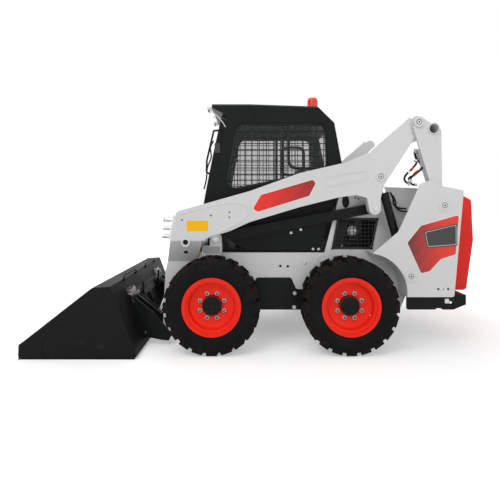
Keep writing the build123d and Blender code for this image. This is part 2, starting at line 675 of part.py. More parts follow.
SEAT_REAR, SEAT_FRONT = CAB_REAR + 82, FRONT_X - 298
SEAT_HALF = 250.0
CUSHION_Z = 960.0
CUSHION_T = 120.0
with BuildPart() as seat_base:
    box((SEAT_REAR + 40, SEAT_FRONT - 30), (20 - SEAT_HALF, SEAT_HALF - 20), (FLOOR_TOP, CUSHION_Z - 40))
    box((SEAT_REAR, SEAT_FRONT), (-SEAT_HALF, SEAT_HALF), (CUSHION_Z - 40, CUSHION_Z))
save(seat_base, "seat_base")
with BuildPart() as seat:
    box((SEAT_REAR, SEAT_FRONT), (-SEAT_HALF, SEAT_HALF), (CUSHION_Z, CUSHION_Z + CUSHION_T))
    backrest = (
        (SEAT_REAR, CUSHION_Z + CUSHION_T),
        (SEAT_REAR + 140, CUSHION_Z + CUSHION_T),
        (SEAT_REAR + 40, 1560),
        (SEAT_REAR - 60, 1560),
    )
    plate(10 - SEAT_HALF, SEAT_HALF - 10, backrest)
save(seat, "seat")

LEVER_Y = 300.0
LEVER_X = FRONT_X - 178
with BuildPart() as control_levers:
    for lever_y in (-LEVER_Y, LEVER_Y):
        stalk = (
            (LEVER_X, lever_y, FLOOR_TOP),
            (LEVER_X, lever_y, FLOOR_TOP + 180),
            (LEVER_X - 30, lever_y, FLOOR_TOP + 370),
        )
        tube(stalk, 40, 12)
        grip_low = stalk[2][2] - 10
        post(stalk[2][0], stalk[2][1], grip_low, grip_low + 110, 24)
save(control_levers, "control_levers")

# ---------------------------------------------------------------- front door
DOOR_Y = CAB_Y - 12
DOOR_BAR = 28.0
DOOR_SILL = 55.0
DOOR_GLASS_BACK = 12.0
DOOR_GLASS_T = 6.0
HANDLE_R = 8.0
HANDLE_Y = DOOR_Y - 18
with BuildPart() as front_door:
    curved_plate(-DOOR_Y, DOOR_Y, DOOR_ARC, DOOR_T)
    opening_y = DOOR_Y - DOOR_BAR
    opening_z = (DOOR_LOW_Z + DOOR_SILL, DOOR_ARC[2][1] - DOOR_BAR)
    door_x = (DOOR_ARC[2][0] - 100, DOOR_ARC[0][0] + 50)
    box(door_x, (-opening_y, opening_y), opening_z, mode=Mode.SUBTRACT)
    # grab loop on the side that opens
    loop = (
        (FRONT_X - 50, HANDLE_Y, 1790),
        (FRONT_X + 13, HANDLE_Y, 1788),
        (FRONT_X + 72, HANDLE_Y, 1535),
        (FRONT_X + 75, HANDLE_Y, 1438),
        (FRONT_X + 30, HANDLE_Y, 1405),
    )
    tube(loop, HANDLE_R, HANDLE_R)
    for distance in DOOR_KNUCKLES:
        door_strap(distance + DOOR_KNUCKLE + HINGE_GAP, -DOOR_HINGE_Y, 8 - DOOR_Y, -8, 8)
        door_knuckle(distance + DOOR_KNUCKLE + HINGE_GAP, DOOR_KNUCKLE_R, DOOR_KNUCKLE)
        door_knuckle(distance + DOOR_KNUCKLE, DOOR_PIN_R + FIT, 2 * DOOR_KNUCKLE, mode=Mode.SUBTRACT)
save(front_door, "front_door")

with BuildPart() as door_glass:
    curved_plate(-DOOR_Y, DOOR_Y, moved(DOOR_ARC, -DOOR_GLASS_BACK), DOOR_GLASS_T)
    above = (opening_z[1], CAB_TOP)
    below = (TUB_TOP, opening_z[0])
    box(door_x, (-CAB_Y, CAB_Y), above, mode=Mode.SUBTRACT)
    box(door_x, (-CAB_Y, CAB_Y), below, mode=Mode.SUBTRACT)
    for low, high in both_sides(opening_y, CAB_Y):
        box(door_x, (low, high), (TUB_TOP, CAB_TOP), mode=Mode.SUBTRACT)
save(door_glass, "door_glass")

# ---------------------------------------------------------------- tailgate and hood
GATE_Y = SIDE_Y - 30
GATE_IN = TOWER_REAR - FIT
GATE_LOW = SILL_Z + 5
GATE_TOP = DECK_Z - 6
GATE_SKIN = 60.0
GATE_SLOTS = 7
GATE_SLOT_LOW = 620.0
GATE_SLOT_PITCH = 62.0
GATE_SLOT_H = 24.0
GATE_SLOT_Y = (30.0, 310.0)
GATE_RIM = 40.0  # depth of the rim round the hollow, at the sides
GATE_OUTLINE = (
    (GATE_IN, GATE_LOW),
    (REAR_X - 1031, GATE_LOW),
    (REAR_X - 1090, 864),
    (REAR_X - 1073, 1198),
    (REAR_X - 1006, GATE_TOP),
    (GATE_IN, GATE_TOP),
)
with BuildPart() as tailgate:
    plate(-GATE_Y, GATE_Y, GATE_OUTLINE)
    fillet(tailgate.edges().filter_by(Axis.Y).sort_by(Axis.X)[:3], 30)
    hollow_x = (REAR_X - 988, TOWER_REAR)
    hollow_z = (GATE_LOW + GATE_SKIN, GATE_TOP - GATE_SKIN)
    box(hollow_x, (GATE_RIM - GATE_Y, GATE_Y - GATE_RIM), hollow_z, mode=Mode.SUBTRACT)
    # air slots through the rear skin
    for slot in range(GATE_SLOTS):
        slot_z = GATE_SLOT_LOW + slot * GATE_SLOT_PITCH
        for low, high in both_sides(*GATE_SLOT_Y):
            slot_height = (slot_z, slot_z + GATE_SLOT_H)
            box((REAR_X - 1100, TOWER_REAR), (low, high), slot_height, mode=Mode.SUBTRACT)
    for hinge_z in GATE_HINGE_ZS:
        knuckle_low = hinge_z + GATE_KNUCKLE + HINGE_GAP
        knuckle_top = knuckle_low + GATE_KNUCKLE - HINGE_GAP
        strap_x = (GATE_HINGE[0] - 10, GATE_HINGE[0] + 10)
        box(strap_x, (-GATE_HINGE[1], -GATE_Y), (knuckle_low, knuckle_top))
        post(GATE_HINGE[0], -GATE_HINGE[1], knuckle_low, knuckle_top, HATCH_HINGE_R)
        with Locations((GATE_HINGE[0], -GATE_HINGE[1], knuckle_top)):
            Cylinder(HATCH_PIN_R + FIT, 3 * GATE_KNUCKLE, mode=Mode.SUBTRACT)
save(tailgate, "tailgate")

HOOD_Z = DECK_Z + FIT
HOOD_LIP_Y = SIDE_Y - PLATE - MOVE_GAP
with BuildPart() as rear_hood:
    hood_front = HOOD_HINGE[0] - HATCH_HINGE_R - PIVOT_GAP
    hood = (
        (TOWER_REAR, HOOD_Z),
        (TOWER_REAR, HOOD_Z + 45),
        (hood_front - 30, HOOD_Z + 75),
        (hood_front, HOOD_Z + 30),
        (hood_front, HOOD_Z),
    )
    plate(-SIDE_Y, SIDE_Y, hood)
    hollow = (
        (TOWER_REAR + PLATE, HOOD_Z - 1),
        (TOWER_REAR + PLATE, HOOD_Z + 33),
        (hood_front - 60, HOOD_Z + 61),
        (hood_front - 60, HOOD_Z - 1),
    )
    plate(-HOOD_LIP_Y, HOOD_LIP_Y, hollow, mode=Mode.SUBTRACT)
    for low, high in both_sides(HOOD_LIP_Y - 30, HOOD_LIP_Y):
        bar((HOOD_HINGE[0] - 45, HOOD_HINGE[1]), HOOD_HINGE, HATCH_HINGE_R - 2, low, high)
        disc(HOOD_HINGE, HATCH_PIN_R + FIT, low, high, mode=Mode.SUBTRACT)
save(rear_hood, "rear_hood")

# ---------------------------------------------------------------- lift arms
ARM_BOSS_R = 54.0
ARM_SKIN = 8.0
ARM_BEAD = 3.0  # height of the stiffener and of the pressed bead on the outer skin
CROSS_TUBE = (FRONT_X + 157, 770.0)
CROSS_TUBE_R = 40.0
TILT_TUBE_R = 32.0
TILT_PIN_R = 18.0
TILT_LUG_IN = TILT_Y - TILT_TUBE_R - PIVOT_GAP
TILT_LUG_OUT = TILT_Y + TILT_TUBE_R + PIVOT_GAP
KNEE_Z = 873.0
LEG_TOP_Z = 691.0
ARM_OUTLINE = (
    # upper edge, from the rear pivot to the knee
    (REAR_X - 486, 1850),
    (REAR_X - 171, 1575),
    (REAR_X + 26, 1492),
    (REAR_X + 381, 1410),
    (FRONT_X - 295, 1268),
    (FRONT_X + 265, 1110),
    (FRONT_X + 288, 1094),
    (FRONT_X + 336, KNEE_Z),
    (FRONT_X + 82, KNEE_Z),
    # lower edge, back to the control link and up the rear
    (FRONT_X + 36, 897),
    (FRONT_X - 137, 952),
    (FRONT_X - 295, 1023),
    (REAR_X + 381, 1141),
    (REAR_X + 65, 1220),
    (REAR_X - 69, 1236),
    (REAR_X - 150, 1212),
    (PIN_C[0] + 46, PIN_C[1]),
    (PIN_C[0] - 46, PIN_C[1]),
    (REAR_X - 256, 1210),
    (REAR_X - 289, 1323),
    (REAR_X - 578, 1770),
)
STIFFENER = (
    (FRONT_X - 305, 1208),
    (FRONT_X + 258, 1058),
    (FRONT_X + 300, 880),
    (FRONT_X + 90, 880),
    (FRONT_X + 46, 905),
    (FRONT_X - 128, 962),
    (FRONT_X - 305, 1040),
)
BEAD_FRONT, BEAD_REAR = (REAR_X + 150, 1344), (REAR_X - 110, 1392)
BEAD_R = 42.0
LEG_OUTLINE = (
    (FRONT_X + 146, LEG_TOP_Z),
    (FRONT_X + 386, LEG_TOP_Z),
    (FRONT_X + 403, 616),
    (FRONT_X + 417, 367),
    (FRONT_X + 427, 100),
    (PIN_P[0], PIN_P[1] - 44),
    (FRONT_X + 342, 90),
    (FRONT_X + 282, 300),
)
KNEE_RING = (FRONT_X + 215, 862)
ARM_HOLES = (
    (FRONT_X + 241, 1039, 7),
    (FRONT_X + 13, 1074, 7),
    (FRONT_X - 132, 1099, 7),
    (FRONT_X - 132, 1061, 7),
)

with BuildPart() as lift_arm:
    plate(ARM_IN_Y, ARM_OUT_Y, ARM_OUTLINE)
    disc(PIN_D, ARM_BOSS_R, ARM_IN_Y, ARM_OUT_Y)
    disc(PIN_C, 46, ARM_IN_Y, ARM_OUT_Y)
    # stiffener round the knee and a pressed bead over the rear wheel
    plate(ARM_OUT_Y, ARM_OUT_Y + ARM_BEAD, STIFFENER, radius=30)
    bar(BEAD_FRONT, BEAD_REAR, BEAD_R, ARM_OUT_Y, ARM_OUT_Y + ARM_BEAD)
    bar(BEAD_FRONT, BEAD_REAR, BEAD_R - 10, ARM_OUT_Y, ARM_OUT_Y + ARM_BEAD, mode=Mode.SUBTRACT)
    for hole_x, hole_z, hole_r in ARM_HOLES:
        disc((hole_x, hole_z), hole_r, ARM_OUT_Y - ARM_SKIN, ARM_OUT_Y + ARM_BEAD, mode=Mode.SUBTRACT)
    # pin of the lift rod, flush with the outer skin
    disc(PIN_E, 30, ARM_OUT_Y, ARM_OUT_Y + ARM_BEAD)
    # pocket for the lift rod, open to the rear
    pocket_x = (REAR_X - 588, PIN_E[0] + 60)
    pocket_z = (PIN_E[1] - 170, PIN_E[1] + 115)
    box(pocket_x, (ARM_IN_Y + ARM_SKIN, ARM_OUT_Y - ARM_SKIN), pocket_z, mode=Mode.SUBTRACT)
    # knee: the beam steps inwards to the leg
    with BuildSketch(Plane.XY.offset(KNEE_Z)):
        with Locations((FRONT_X + 209, (ARM_IN_Y + ARM_OUT_Y) / 2)):
            Rectangle(254, ARM_T)
    with BuildSketch(Plane.XY.offset(LEG_TOP_Z)):
        with Locations((FRONT_X + 266, (LEG_IN_Y + LEG_OUT_Y) / 2)):
            Rectangle(240, LEG_T)
    loft(ruled=True)
    plate(LEG_IN_Y, LEG_OUT_Y, LEG_OUTLINE)
    # lug pair of the tilt cylinder on the cross tube
    for low, high in ((TILT_LUG_IN - PLATE, TILT_LUG_IN), (TILT_LUG_OUT, TILT_LUG_OUT + PLATE)):
        bar(CROSS_TUBE, PIN_T1, 32, low, high)
    disc(PIN_T1, TILT_PIN_R, TILT_LUG_IN - PLATE, TILT_LUG_OUT + PLATE)
    disc(PIN_D, PIN_R, ARM_OUT_Y, REAR_OUT_Y + MOVE_GAP)
    mirror(about=Plane.XZ)
    disc(CROSS_TUBE, CROSS_TUBE_R, -LEG_OUT_Y + 16, LEG_OUT_Y - 16)
    for low, high in both_sides(LEG_IN_Y, LEG_OUT_Y):
        disc(PIN_P, PIN_R + FIT, low, high, mode=Mode.SUBTRACT)
    # transport eye on the outer face of the knee, left side
    disc(KNEE_RING, 35, ARM_OUT_Y - 30, ARM_OUT_Y + ARM_BEAD)
    disc(KNEE_RING, 22, ARM_OUT_Y - 20, ARM_OUT_Y + ARM_BEAD, mode=Mode.SUBTRACT)
save(lift_arm, "lift_arm")

# auxiliary hydraulic outlets in front of the left knee
MANIFOLD = ((692.5, 882), (651.3, 1072), (673, 1072), (714, 882))
OUTLETS_Z = (910.0, 975.0, 1040.0)
OUTLET_R = 16.0
OUTLET_L = 60.0
with BuildPart() as arm_couplers:
    manifold = moved(MANIFOLD, FRONT_X - 358)
    plate(CYL_Y - 28, CYL_Y + 28, manifold)
    lean = (manifold[3][0] - manifold[2][0]) / (manifold[2][1] - manifold[3][1])
    for outlet_z in OUTLETS_Z:
        face_x = manifold[3][0] - (outlet_z - manifold[3][1]) * lean
        outlet_plane = Plane(origin=(face_x - 4, CYL_Y, outlet_z), x_dir=(0, 1, 0), z_dir=(1, 0, 0))
        with BuildSketch(outlet_plane) as outlet:
            Circle(OUTLET_R)
        extrude(outlet.sketch, amount=OUTLET_L)
save(arm_couplers, "arm_couplers")

# ---------------------------------------------------------------- rear links
REAR_LINK_OUTLINE = (
    (PIN_D[0], PIN_D[1] + 57),
    (REAR_X - 722, 1745),
    (REAR_X - 729, 1314),
    (PIN_B[0] - 60, PIN_B[1]),
    (PIN_B[0], PIN_B[1] - 60),
    (PIN_B[0] + 60, PIN_B[1]),
    (REAR_X - 635, 1330),
    (REAR_X - 503, 1770),
)
# folded front edge of a link, clear of the arm
LINK_FLANGE = ((REAR_X - 672, 1218), (REAR_X - 637, 1330), (REAR_X - 556, 1600))
LINK_FLANGE_DEPTH = 60.0
LINK_TUBE = (REAR_X - 663, 1755.0)
LINK_TUBE_R = 45.0
with BuildPart() as rear_links:
    plate(REAR_IN_Y, REAR_OUT_Y, REAR_LINK_OUTLINE, radius=25)
    bent_plate(REAR_IN_Y - LINK_FLANGE_DEPTH, REAR_IN_Y + 1, LINK_FLANGE, 10, side=Side.LEFT)
    disc(PIN_D, PIN_R + FIT, REAR_IN_Y, REAR_OUT_Y, mode=Mode.SUBTRACT)
    disc(PIN_B, PIN_R + FIT, REAR_IN_Y, REAR_OUT_Y, mode=Mode.SUBTRACT)
    mirror(about=Plane.XZ)
    tube_end = REAR_OUT_Y + MOVE_GAP
    disc(LINK_TUBE, LINK_TUBE_R, -tube_end, tube_end)
    disc(LINK_TUBE, LINK_TUBE_R - 8, -tube_end, tube_end, mode=Mode.SUBTRACT)
save(rear_links, "rear_links")

# ---------------------------------------------------------------- control links and cylinders
CONTROL_R = 40.0
for side, hand in SIDES:
    low, high = sorted((hand * LINK_IN_Y, hand * LINK_OUT_Y))
    pin_low, pin_high = sorted((hand * LINK_IN_Y, hand * (ARM_IN_Y - PIVOT_GAP)))
    with BuildPart() as control_link:
        bar(PIN_A, PIN_C, CONTROL_R, low, high)
        # lightened web between the two bosses
        reach = length(PIN_A, PIN_C)
        web = (along(PIN_A, PIN_C, 120), along(PIN_A, PIN_C, reach - 120))
        for web_low, web_high in ((low, low + 8), (high - 8, high)):
            bar(*web, CONTROL_R - 12, web_low, web_high, mode=Mode.SUBTRACT)
        disc(PIN_C, PIN_R, pin_low, pin_high)
        disc(PIN_A, PIN_R + FIT, low, high, mode=Mode.SUBTRACT)
    save(control_link, f"control_link_{side}")

LIFT_REST = length(PIN_G, PIN_E)
TILT_REST = length(PIN_T1, PIN_T2)
LIFT_EYE = ARM_T / 2 - ARM_SKIN - PIVOT_GAP
TILT_EYE = 17.0
TILT_CLOSED = TILT_REST - TILT_ROLLBACK
# name, fixed pin, rod pin, y, radii of tube, rod and pin, eye half width, closed length, stroke
CYLINDERS = (
    ("lift", PIN_G, PIN_E, CYL_Y, 33.0, 20.0, PIN_R, LIFT_EYE, LIFT_REST, LIFT_STROKE),
    ("tilt", PIN_T1, PIN_T2, TILT_Y, TILT_TUBE_R, 18.0, TILT_PIN_R, TILT_EYE, TILT_CLOSED, TILT_STROKE),
)
EYE_WALL = 16.0
GLAND_L = 34.0
GLAND_WALL = 4.0
PISTON_L = 100.0  # length of a tube beyond its stroke
BORE_GAP = 0.5
END_PLUG = 14.0
ROD_TAIL = 40.0  # how far the rod's inner end stays from the eye of a closed barrel


def cylinder_plane(start, end, y, distance):
    """Plane square to a cylinder's axis, at a distance from its fixed pin."""
    x, z = along(start, end, distance)
    return Plane(origin=(x, y, z), x_dir=(0, 1, 0), z_dir=(end[0] - start[0], 0, end[1] - start[1]))


def round_bar(plane, radius, reach, mode=Mode.ADD):
    """Round bar or bore from a plane."""
    with BuildSketch(plane) as section:
        Circle(radius)
    extrude(section.sketch, amount=reach, mode=mode)


for name, fixed, free, y, tube_r, rod_r, pin_r, eye_half, closed, stroke in CYLINDERS:
    rest = length(fixed, free)
    eye_r = pin_r + EYE_WALL
    tube_start = eye_r - 8
    tube_end = tube_start + stroke + PISTON_L
    bore_start = eye_r + END_PLUG
    rod_start = rest - closed + eye_r + ROD_TAIL
    for side, hand in SIDES:
        at_y = hand * y
        with BuildPart() as barrel:
            disc(fixed, eye_r, at_y - eye_half, at_y + eye_half)
            round_bar(cylinder_plane(fixed, free, at_y, tube_start), tube_r, tube_end - tube_start)
            gland = cylinder_plane(fixed, free, at_y, tube_end - GLAND_L)
            round_bar(gland, tube_r + GLAND_WALL, GLAND_L)
            bore = cylinder_plane(fixed, free, at_y, bore_start)
            round_bar(bore, rod_r + BORE_GAP, tube_end, mode=Mode.SUBTRACT)
            disc(fixed, pin_r + FIT, at_y - eye_half, at_y + eye_half, mode=Mode.SUBTRACT)
        save(barrel, f"{name}_barrel_{side}")
        with BuildPart() as rod:
            disc(free, eye_r, at_y - eye_half, at_y + eye_half)
            round_bar(cylinder_plane(fixed, free, at_y, rod_start), rod_r, rest - rod_start)
        save(rod, f"{name}_rod_{side}")

# ---------------------------------------------------------------- quick coupler
BACK_LOW = (FRONT_X + 552, 26.0)
BACK_HIGH = (FRONT_X + 754, 545.0)
BACK_T = 10.0
COUPLER_Y = SIDE_Y + 40
COUPLER_T = 16.0
COUPLER_LOW, COUPLER_HIGH = 40.0, 400.0  # along the bucket's back
COUPLER_LEVER_Y = 300.0


def behind(up, out):
    """Point given by its height along the bucket's back and its distance behind it."""
    run = length(BACK_LOW, BACK_HIGH)
    back_x = (BACK_HIGH[0] - BACK_LOW[0]) / run
    back_z = (BACK_HIGH[1] - BACK_LOW[1]) / run
    return (BACK_LOW[0] + up * back_x - out * back_z, BACK_LOW[1] + up * back_z + out * back_x)


with BuildPart() as quick_coupler:
    face = (
        behind(COUPLER_LOW, 0),
        behind(COUPLER_HIGH, 0),
        behind(COUPLER_HIGH, COUPLER_T),
        behind(COUPLER_LOW, COUPLER_T),
    )
    plate(-COUPLER_Y, COUPLER_Y, face)
    # windows for the view of the bucket
    window = (
        behind(COUPLER_LOW + 70, -1),
        behind(COUPLER_HIGH - 70, -1),
        behind(COUPLER_HIGH - 70, COUPLER_T + 1),
        behind(COUPLER_LOW + 70, COUPLER_T + 1),
    )
    for low, high in both_sides(30, 260):
        plate(low, high, window, mode=Mode.SUBTRACT)
    # lock levers, folded down
    for low, high in both_sides(COUPLER_LEVER_Y, COUPLER_LEVER_Y + PLATE):
        bar(behind(300, COUPLER_T + 6), behind(372, COUPLER_T + 26), 16, low, high)
        bar(behind(372, COUPLER_T + 26), behind(455, COUPLER_T + 62), 9, low, high)
save(quick_coupler, "quick_coupler")

COUPLER_LUG = (
    behind(COUPLER_LOW, COUPLER_T),
    behind(380, COUPLER_T),
    behind(380, COUPLER_T + 24),
    (PIN_T2[0] - 5, PIN_T2[1] + 34),
    (PIN_T2[0] - 34, PIN_T2[1]),
    (PIN_P[0] - 36, PIN_P[1] + 10),
    (PIN_P[0] - 10, PIN_P[1] - 40),
    (PIN_P[0] + 40, PIN_P[1] - 36),
)
LUG_IN = TILT_Y - TILT_EYE - PIVOT_GAP  # inner face of the tilt rod's fork
LUG_OUT = TILT_Y + TILT_EYE + PIVOT_GAP
with BuildPart() as coupler_lugs:
    plate(LUG_IN - PLATE, LUG_IN, COUPLER_LUG)
    plate(LUG_OUT, LEG_IN_Y - 4, COUPLER_LUG)
    plate(LEG_OUT_Y + 4, LEG_OUT_Y + 4 + PLATE, COUPLER_LUG)
    disc(PIN_P, PIN_R, LUG_OUT + 8, LEG_OUT_Y + 4 + PLATE)
    # heads of the tilt pin
    disc(PIN_T2, TILT_PIN_R, LUG_IN - PLATE - PIN_HEAD, LUG_IN - PLATE)
    mirror(about=Plane.XZ)
save(coupler_lugs, "coupler_lugs")

# ---------------------------------------------------------------- bucket
CHEEK_T = 14.0
FLOOR_T = 10.0
EDGE_REAR = FRONT_X + 1282
EDGE_FRONT = FRONT_X + 1444
EDGE_T = 20.0
BUCKET_TIP = (FRONT_X + 889, 536.0)
BUCKET_SIDE = (
    (EDGE_FRONT, 0),
    (EDGE_FRONT - 4, 109),
    (EDGE_FRONT - 45, 139),
    BUCKET_TIP,
    BACK_HIGH,
    BACK_LOW,
    (FRONT_X + 572, 0),
)
# floor, heel, back and top lip, bent from one plate
BUCKET_LINE = (
    (EDGE_REAR, 0),
    (FRONT_X + 572, 0),
    BACK_LOW,
    BACK_HIGH,
    BUCKET_TIP,
)
SIDE_CUTTER = (
    (EDGE_FRONT, 0),
    (EDGE_FRONT - 4, 109),
    (EDGE_FRONT - 45, 139),
    (EDGE_FRONT - 330, 360),
    (EDGE_FRONT - 372, 318),
    (EDGE_FRONT - 110, 110),
    (EDGE_FRONT - 200, 22),
    (EDGE_FRONT - 200, 0),
)
BUCKET_Y = BUCKET_W / 2
with BuildPart() as bucket:
    bent_plate(-BUCKET_Y, BUCKET_Y, BUCKET_LINE, BACK_T)
    for low, high in both_sides(BUCKET_Y - CHEEK_T, BUCKET_Y - 4):
        plate(low, high, BUCKET_SIDE)
    for low, high in both_sides(BUCKET_Y - 5, BUCKET_Y):
        plate(low, high, SIDE_CUTTER)
    # stiffener along the top lip
    lip_x, lip_z = BUCKET_TIP
    lip = ((lip_x - 70, lip_z + 4), (lip_x, lip_z), (lip_x - 4, lip_z - 24), (lip_x - 70, lip_z - 16))
    plate(-BUCKET_Y + 5, BUCKET_Y - 5, lip)
    # hook over the quick coupler's top edge
    hook = (
        behind(COUPLER_HIGH + 1, 0),
        behind(COUPLER_HIGH + 1, COUPLER_T + 1),
        behind(COUPLER_HIGH - 15, COUPLER_T + 1),
        behind(COUPLER_HIGH - 15, COUPLER_T + 9),
        behind(COUPLER_HIGH + 12, COUPLER_T + 9),
        behind(COUPLER_HIGH + 28, 0),
    )
    plate(-COUPLER_Y, COUPLER_Y, hook)
    edge_x = (EDGE_REAR - FIT, EDGE_FRONT + 10)
    box(edge_x, (-BUCKET_Y - 1, BUCKET_Y + 1), (-1, EDGE_T + FIT), mode=Mode.SUBTRACT)
save(bucket, "bucket")

EDGE_BOLTS = 6
EDGE_BOLT_PITCH = 305.0
EDGE_BOLT_X = FRONT_X + 1342
EDGE_BOLT_R = 9.0
with BuildPart() as cutting_edge:
    blade = (
        (EDGE_REAR, 0),
        (EDGE_FRONT, 0),
        (EDGE_FRONT, 6),
        (EDGE_FRONT - 32, EDGE_T),
        (EDGE_REAR, EDGE_T),
    )
    plate(-BUCKET_Y, BUCKET_Y, blade)
    with Locations((EDGE_BOLT_X, 0, EDGE_T / 2)):
        with GridLocations(0, EDGE_BOLT_PITCH, 1, EDGE_BOLTS):
            Hole(EDGE_BOLT_R)
save(cutting_edge, "cutting_edge")
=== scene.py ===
"""Looks of the skid steer loader: paint, rubber, glass and steel, with the tread, bolts, mesh,
plates, lamps and upholstery that the CAD model leaves out. Metres, in the frame of the CAD model:
+X forward, +Y left, +Z up."""

import json
import math

import bmesh
import bpy
from mathutils import Matrix, Vector


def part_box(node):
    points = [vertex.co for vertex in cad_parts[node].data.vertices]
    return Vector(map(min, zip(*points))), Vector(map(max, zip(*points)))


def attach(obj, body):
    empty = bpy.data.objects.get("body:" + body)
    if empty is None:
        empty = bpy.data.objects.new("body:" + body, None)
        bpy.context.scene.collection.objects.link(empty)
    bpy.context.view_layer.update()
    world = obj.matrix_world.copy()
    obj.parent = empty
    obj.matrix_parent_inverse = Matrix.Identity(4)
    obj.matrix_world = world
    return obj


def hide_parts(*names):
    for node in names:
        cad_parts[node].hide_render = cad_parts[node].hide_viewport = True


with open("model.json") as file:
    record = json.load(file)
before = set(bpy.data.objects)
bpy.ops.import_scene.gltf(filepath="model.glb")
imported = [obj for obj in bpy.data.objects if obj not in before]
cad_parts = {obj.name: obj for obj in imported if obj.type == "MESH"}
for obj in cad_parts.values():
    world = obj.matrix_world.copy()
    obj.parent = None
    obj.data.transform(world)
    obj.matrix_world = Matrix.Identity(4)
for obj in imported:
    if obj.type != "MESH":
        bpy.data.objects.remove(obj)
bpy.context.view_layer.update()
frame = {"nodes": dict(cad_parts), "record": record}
nodes = frame["nodes"]

MM = 1000  # millimetres in a metre
SIDES = (("left", 1), ("right", -1))
ENDS = ("front", "rear")
GRAIN = 0.0006  # depth of the finest relief, in metres


# ---------------------------------------------------------------- materials
def shader(name):
    """A new node material: (material, node tree, principled shader)."""
    material = bpy.data.materials.new(name)
    material.use_nodes = True
    tree = material.node_tree
    return material, tree, tree.nodes["Principled BSDF"]


def noise(tree, scale, detail=3.0, stretch=(1, 1, 1)):
    """Noise in object coordinates, so that it moves with the piece."""
    coords = tree.nodes.new("ShaderNodeTexCoord")
    mapping = tree.nodes.new("ShaderNodeMapping")
    mapping.inputs["Scale"].default_value = stretch
    texture = tree.nodes.new("ShaderNodeTexNoise")
    texture.inputs["Scale"].default_value = scale
    texture.inputs["Detail"].default_value = detail
    tree.links.new(coords.outputs["Object"], mapping.inputs["Vector"])
    tree.links.new(mapping.outputs["Vector"], texture.inputs["Vector"])
    return texture.outputs["Fac"]


def tint(tree, fac, dark, light, low=0.35, high=0.65):
    """Two colours blended by a factor."""
    ramp = tree.nodes.new("ShaderNodeValToRGB")
    ramp.color_ramp.elements[0].position = low
    ramp.color_ramp.elements[0].color = (*dark, 1)
    ramp.color_ramp.elements[1].position = high
    ramp.color_ramp.elements[1].color = (*light, 1)
    tree.links.new(fac, ramp.inputs["Fac"])
    return ramp.outputs["Color"]


def spread(tree, fac, low, high):
    """A factor mapped to a range of values, such as roughness."""
    span = tree.nodes.new("ShaderNodeMapRange")
    span.inputs["To Min"].default_value = low
    span.inputs["To Max"].default_value = high
    tree.links.new(fac, span.inputs["Value"])
    return span.outputs["Result"]


def bump(tree, bsdf, fac, strength, depth):
    """Fine relief from a factor; depth is in metres."""
    relief = tree.nodes.new("ShaderNodeBump")
    relief.inputs["Strength"].default_value = strength
    relief.inputs["Distance"].default_value = depth
    tree.links.new(fac, relief.inputs["Height"])
    tree.links.new(relief.outputs["Normal"], bsdf.inputs["Normal"])


def cover(tree, bsdf, colour, roughness):
    """Drive the shader's colour and roughness."""
    tree.links.new(colour, bsdf.inputs["Base Color"])
    tree.links.new(roughness, bsdf.inputs["Roughness"])


def scaled(colour, factor):
    """A colour made darker or lighter."""
    return tuple(min(1.0, c * factor) for c in colour)


def paint(name, colour, roughness=0.38, variation=0.94, peel=0.35, coat=0.0, gloss=0.3):
    """Sprayed paint with faint tone changes and orange peel."""
    material, tree, bsdf = shader(name)
    tone = tint(tree, noise(tree, 2.2, 4.0), scaled(colour, variation), colour)
    fine = noise(tree, 260.0, 2.0)
    cover(tree, bsdf, tone, spread(tree, fine, roughness - 0.05, roughness + 0.07))
    bump(tree, bsdf, fine, peel, GRAIN)
    bsdf.inputs["Specular IOR Level"].default_value = gloss
    bsdf.inputs["Coat Weight"].default_value = coat
    bsdf.inputs["Coat Roughness"].default_value = 0.12
    return material


def worn_paint(name, colour, bare, amount=0.62):
    """Paint scuffed to another tone along the streaks that loose material leaves."""
    material, tree, bsdf = shader(name)
    streaks = noise(tree, 9.0, 8.0, (1.0, 0.35, 2.5))
    tone = tint(tree, streaks, colour, bare, amount, amount + 0.12)
    cover(tree, bsdf, tone, spread(tree, streaks, 0.38, 0.62))
    bump(tree, bsdf, noise(tree, 120.0, 4.0), 0.35, 0.0012)
    bsdf.inputs["Specular IOR Level"].default_value = 0.11
    return material


def rubber(name, colour, roughness=0.78):
    """Moulded rubber, a little dusty, with a fine grain."""
    material, tree, bsdf = shader(name)
    dust = noise(tree, 14.0, 6.0)
    tone = tint(tree, dust, colour, scaled(colour, 1.9), 0.45, 0.75)
    cover(tree, bsdf, tone, spread(tree, dust, roughness - 0.08, roughness + 0.1))
    bump(tree, bsdf, noise(tree, 420.0, 3.0), 0.4, GRAIN)
    bsdf.inputs["Specular IOR Level"].default_value = 0.08
    return material


def metal(name, colour, roughness):
    """Machined or plated steel."""
    material, tree, bsdf = shader(name)
    bsdf.inputs["Metallic"].default_value = 1.0
    lines = noise(tree, 180.0, 4.0)
    tone = tint(tree, lines, scaled(colour, 0.8), colour)
    cover(tree, bsdf, tone, spread(tree, lines, roughness * 0.8, roughness * 1.3))
    bump(tree, bsdf, lines, 0.15, 0.0004)
    return material


def plastic(name, colour, roughness=0.55, grain=380.0):
    """Moulded plastic with a leather-like grain."""
    material, tree, bsdf = shader(name)
    cells = noise(tree, grain, 2.0)
    tone = tint(tree, noise(tree, 3.0), scaled(colour, 0.85), colour)
    cover(tree, bsdf, tone, spread(tree, cells, roughness - 0.06, roughness + 0.08))
    bump(tree, bsdf, cells, 0.3, GRAIN)
    return material


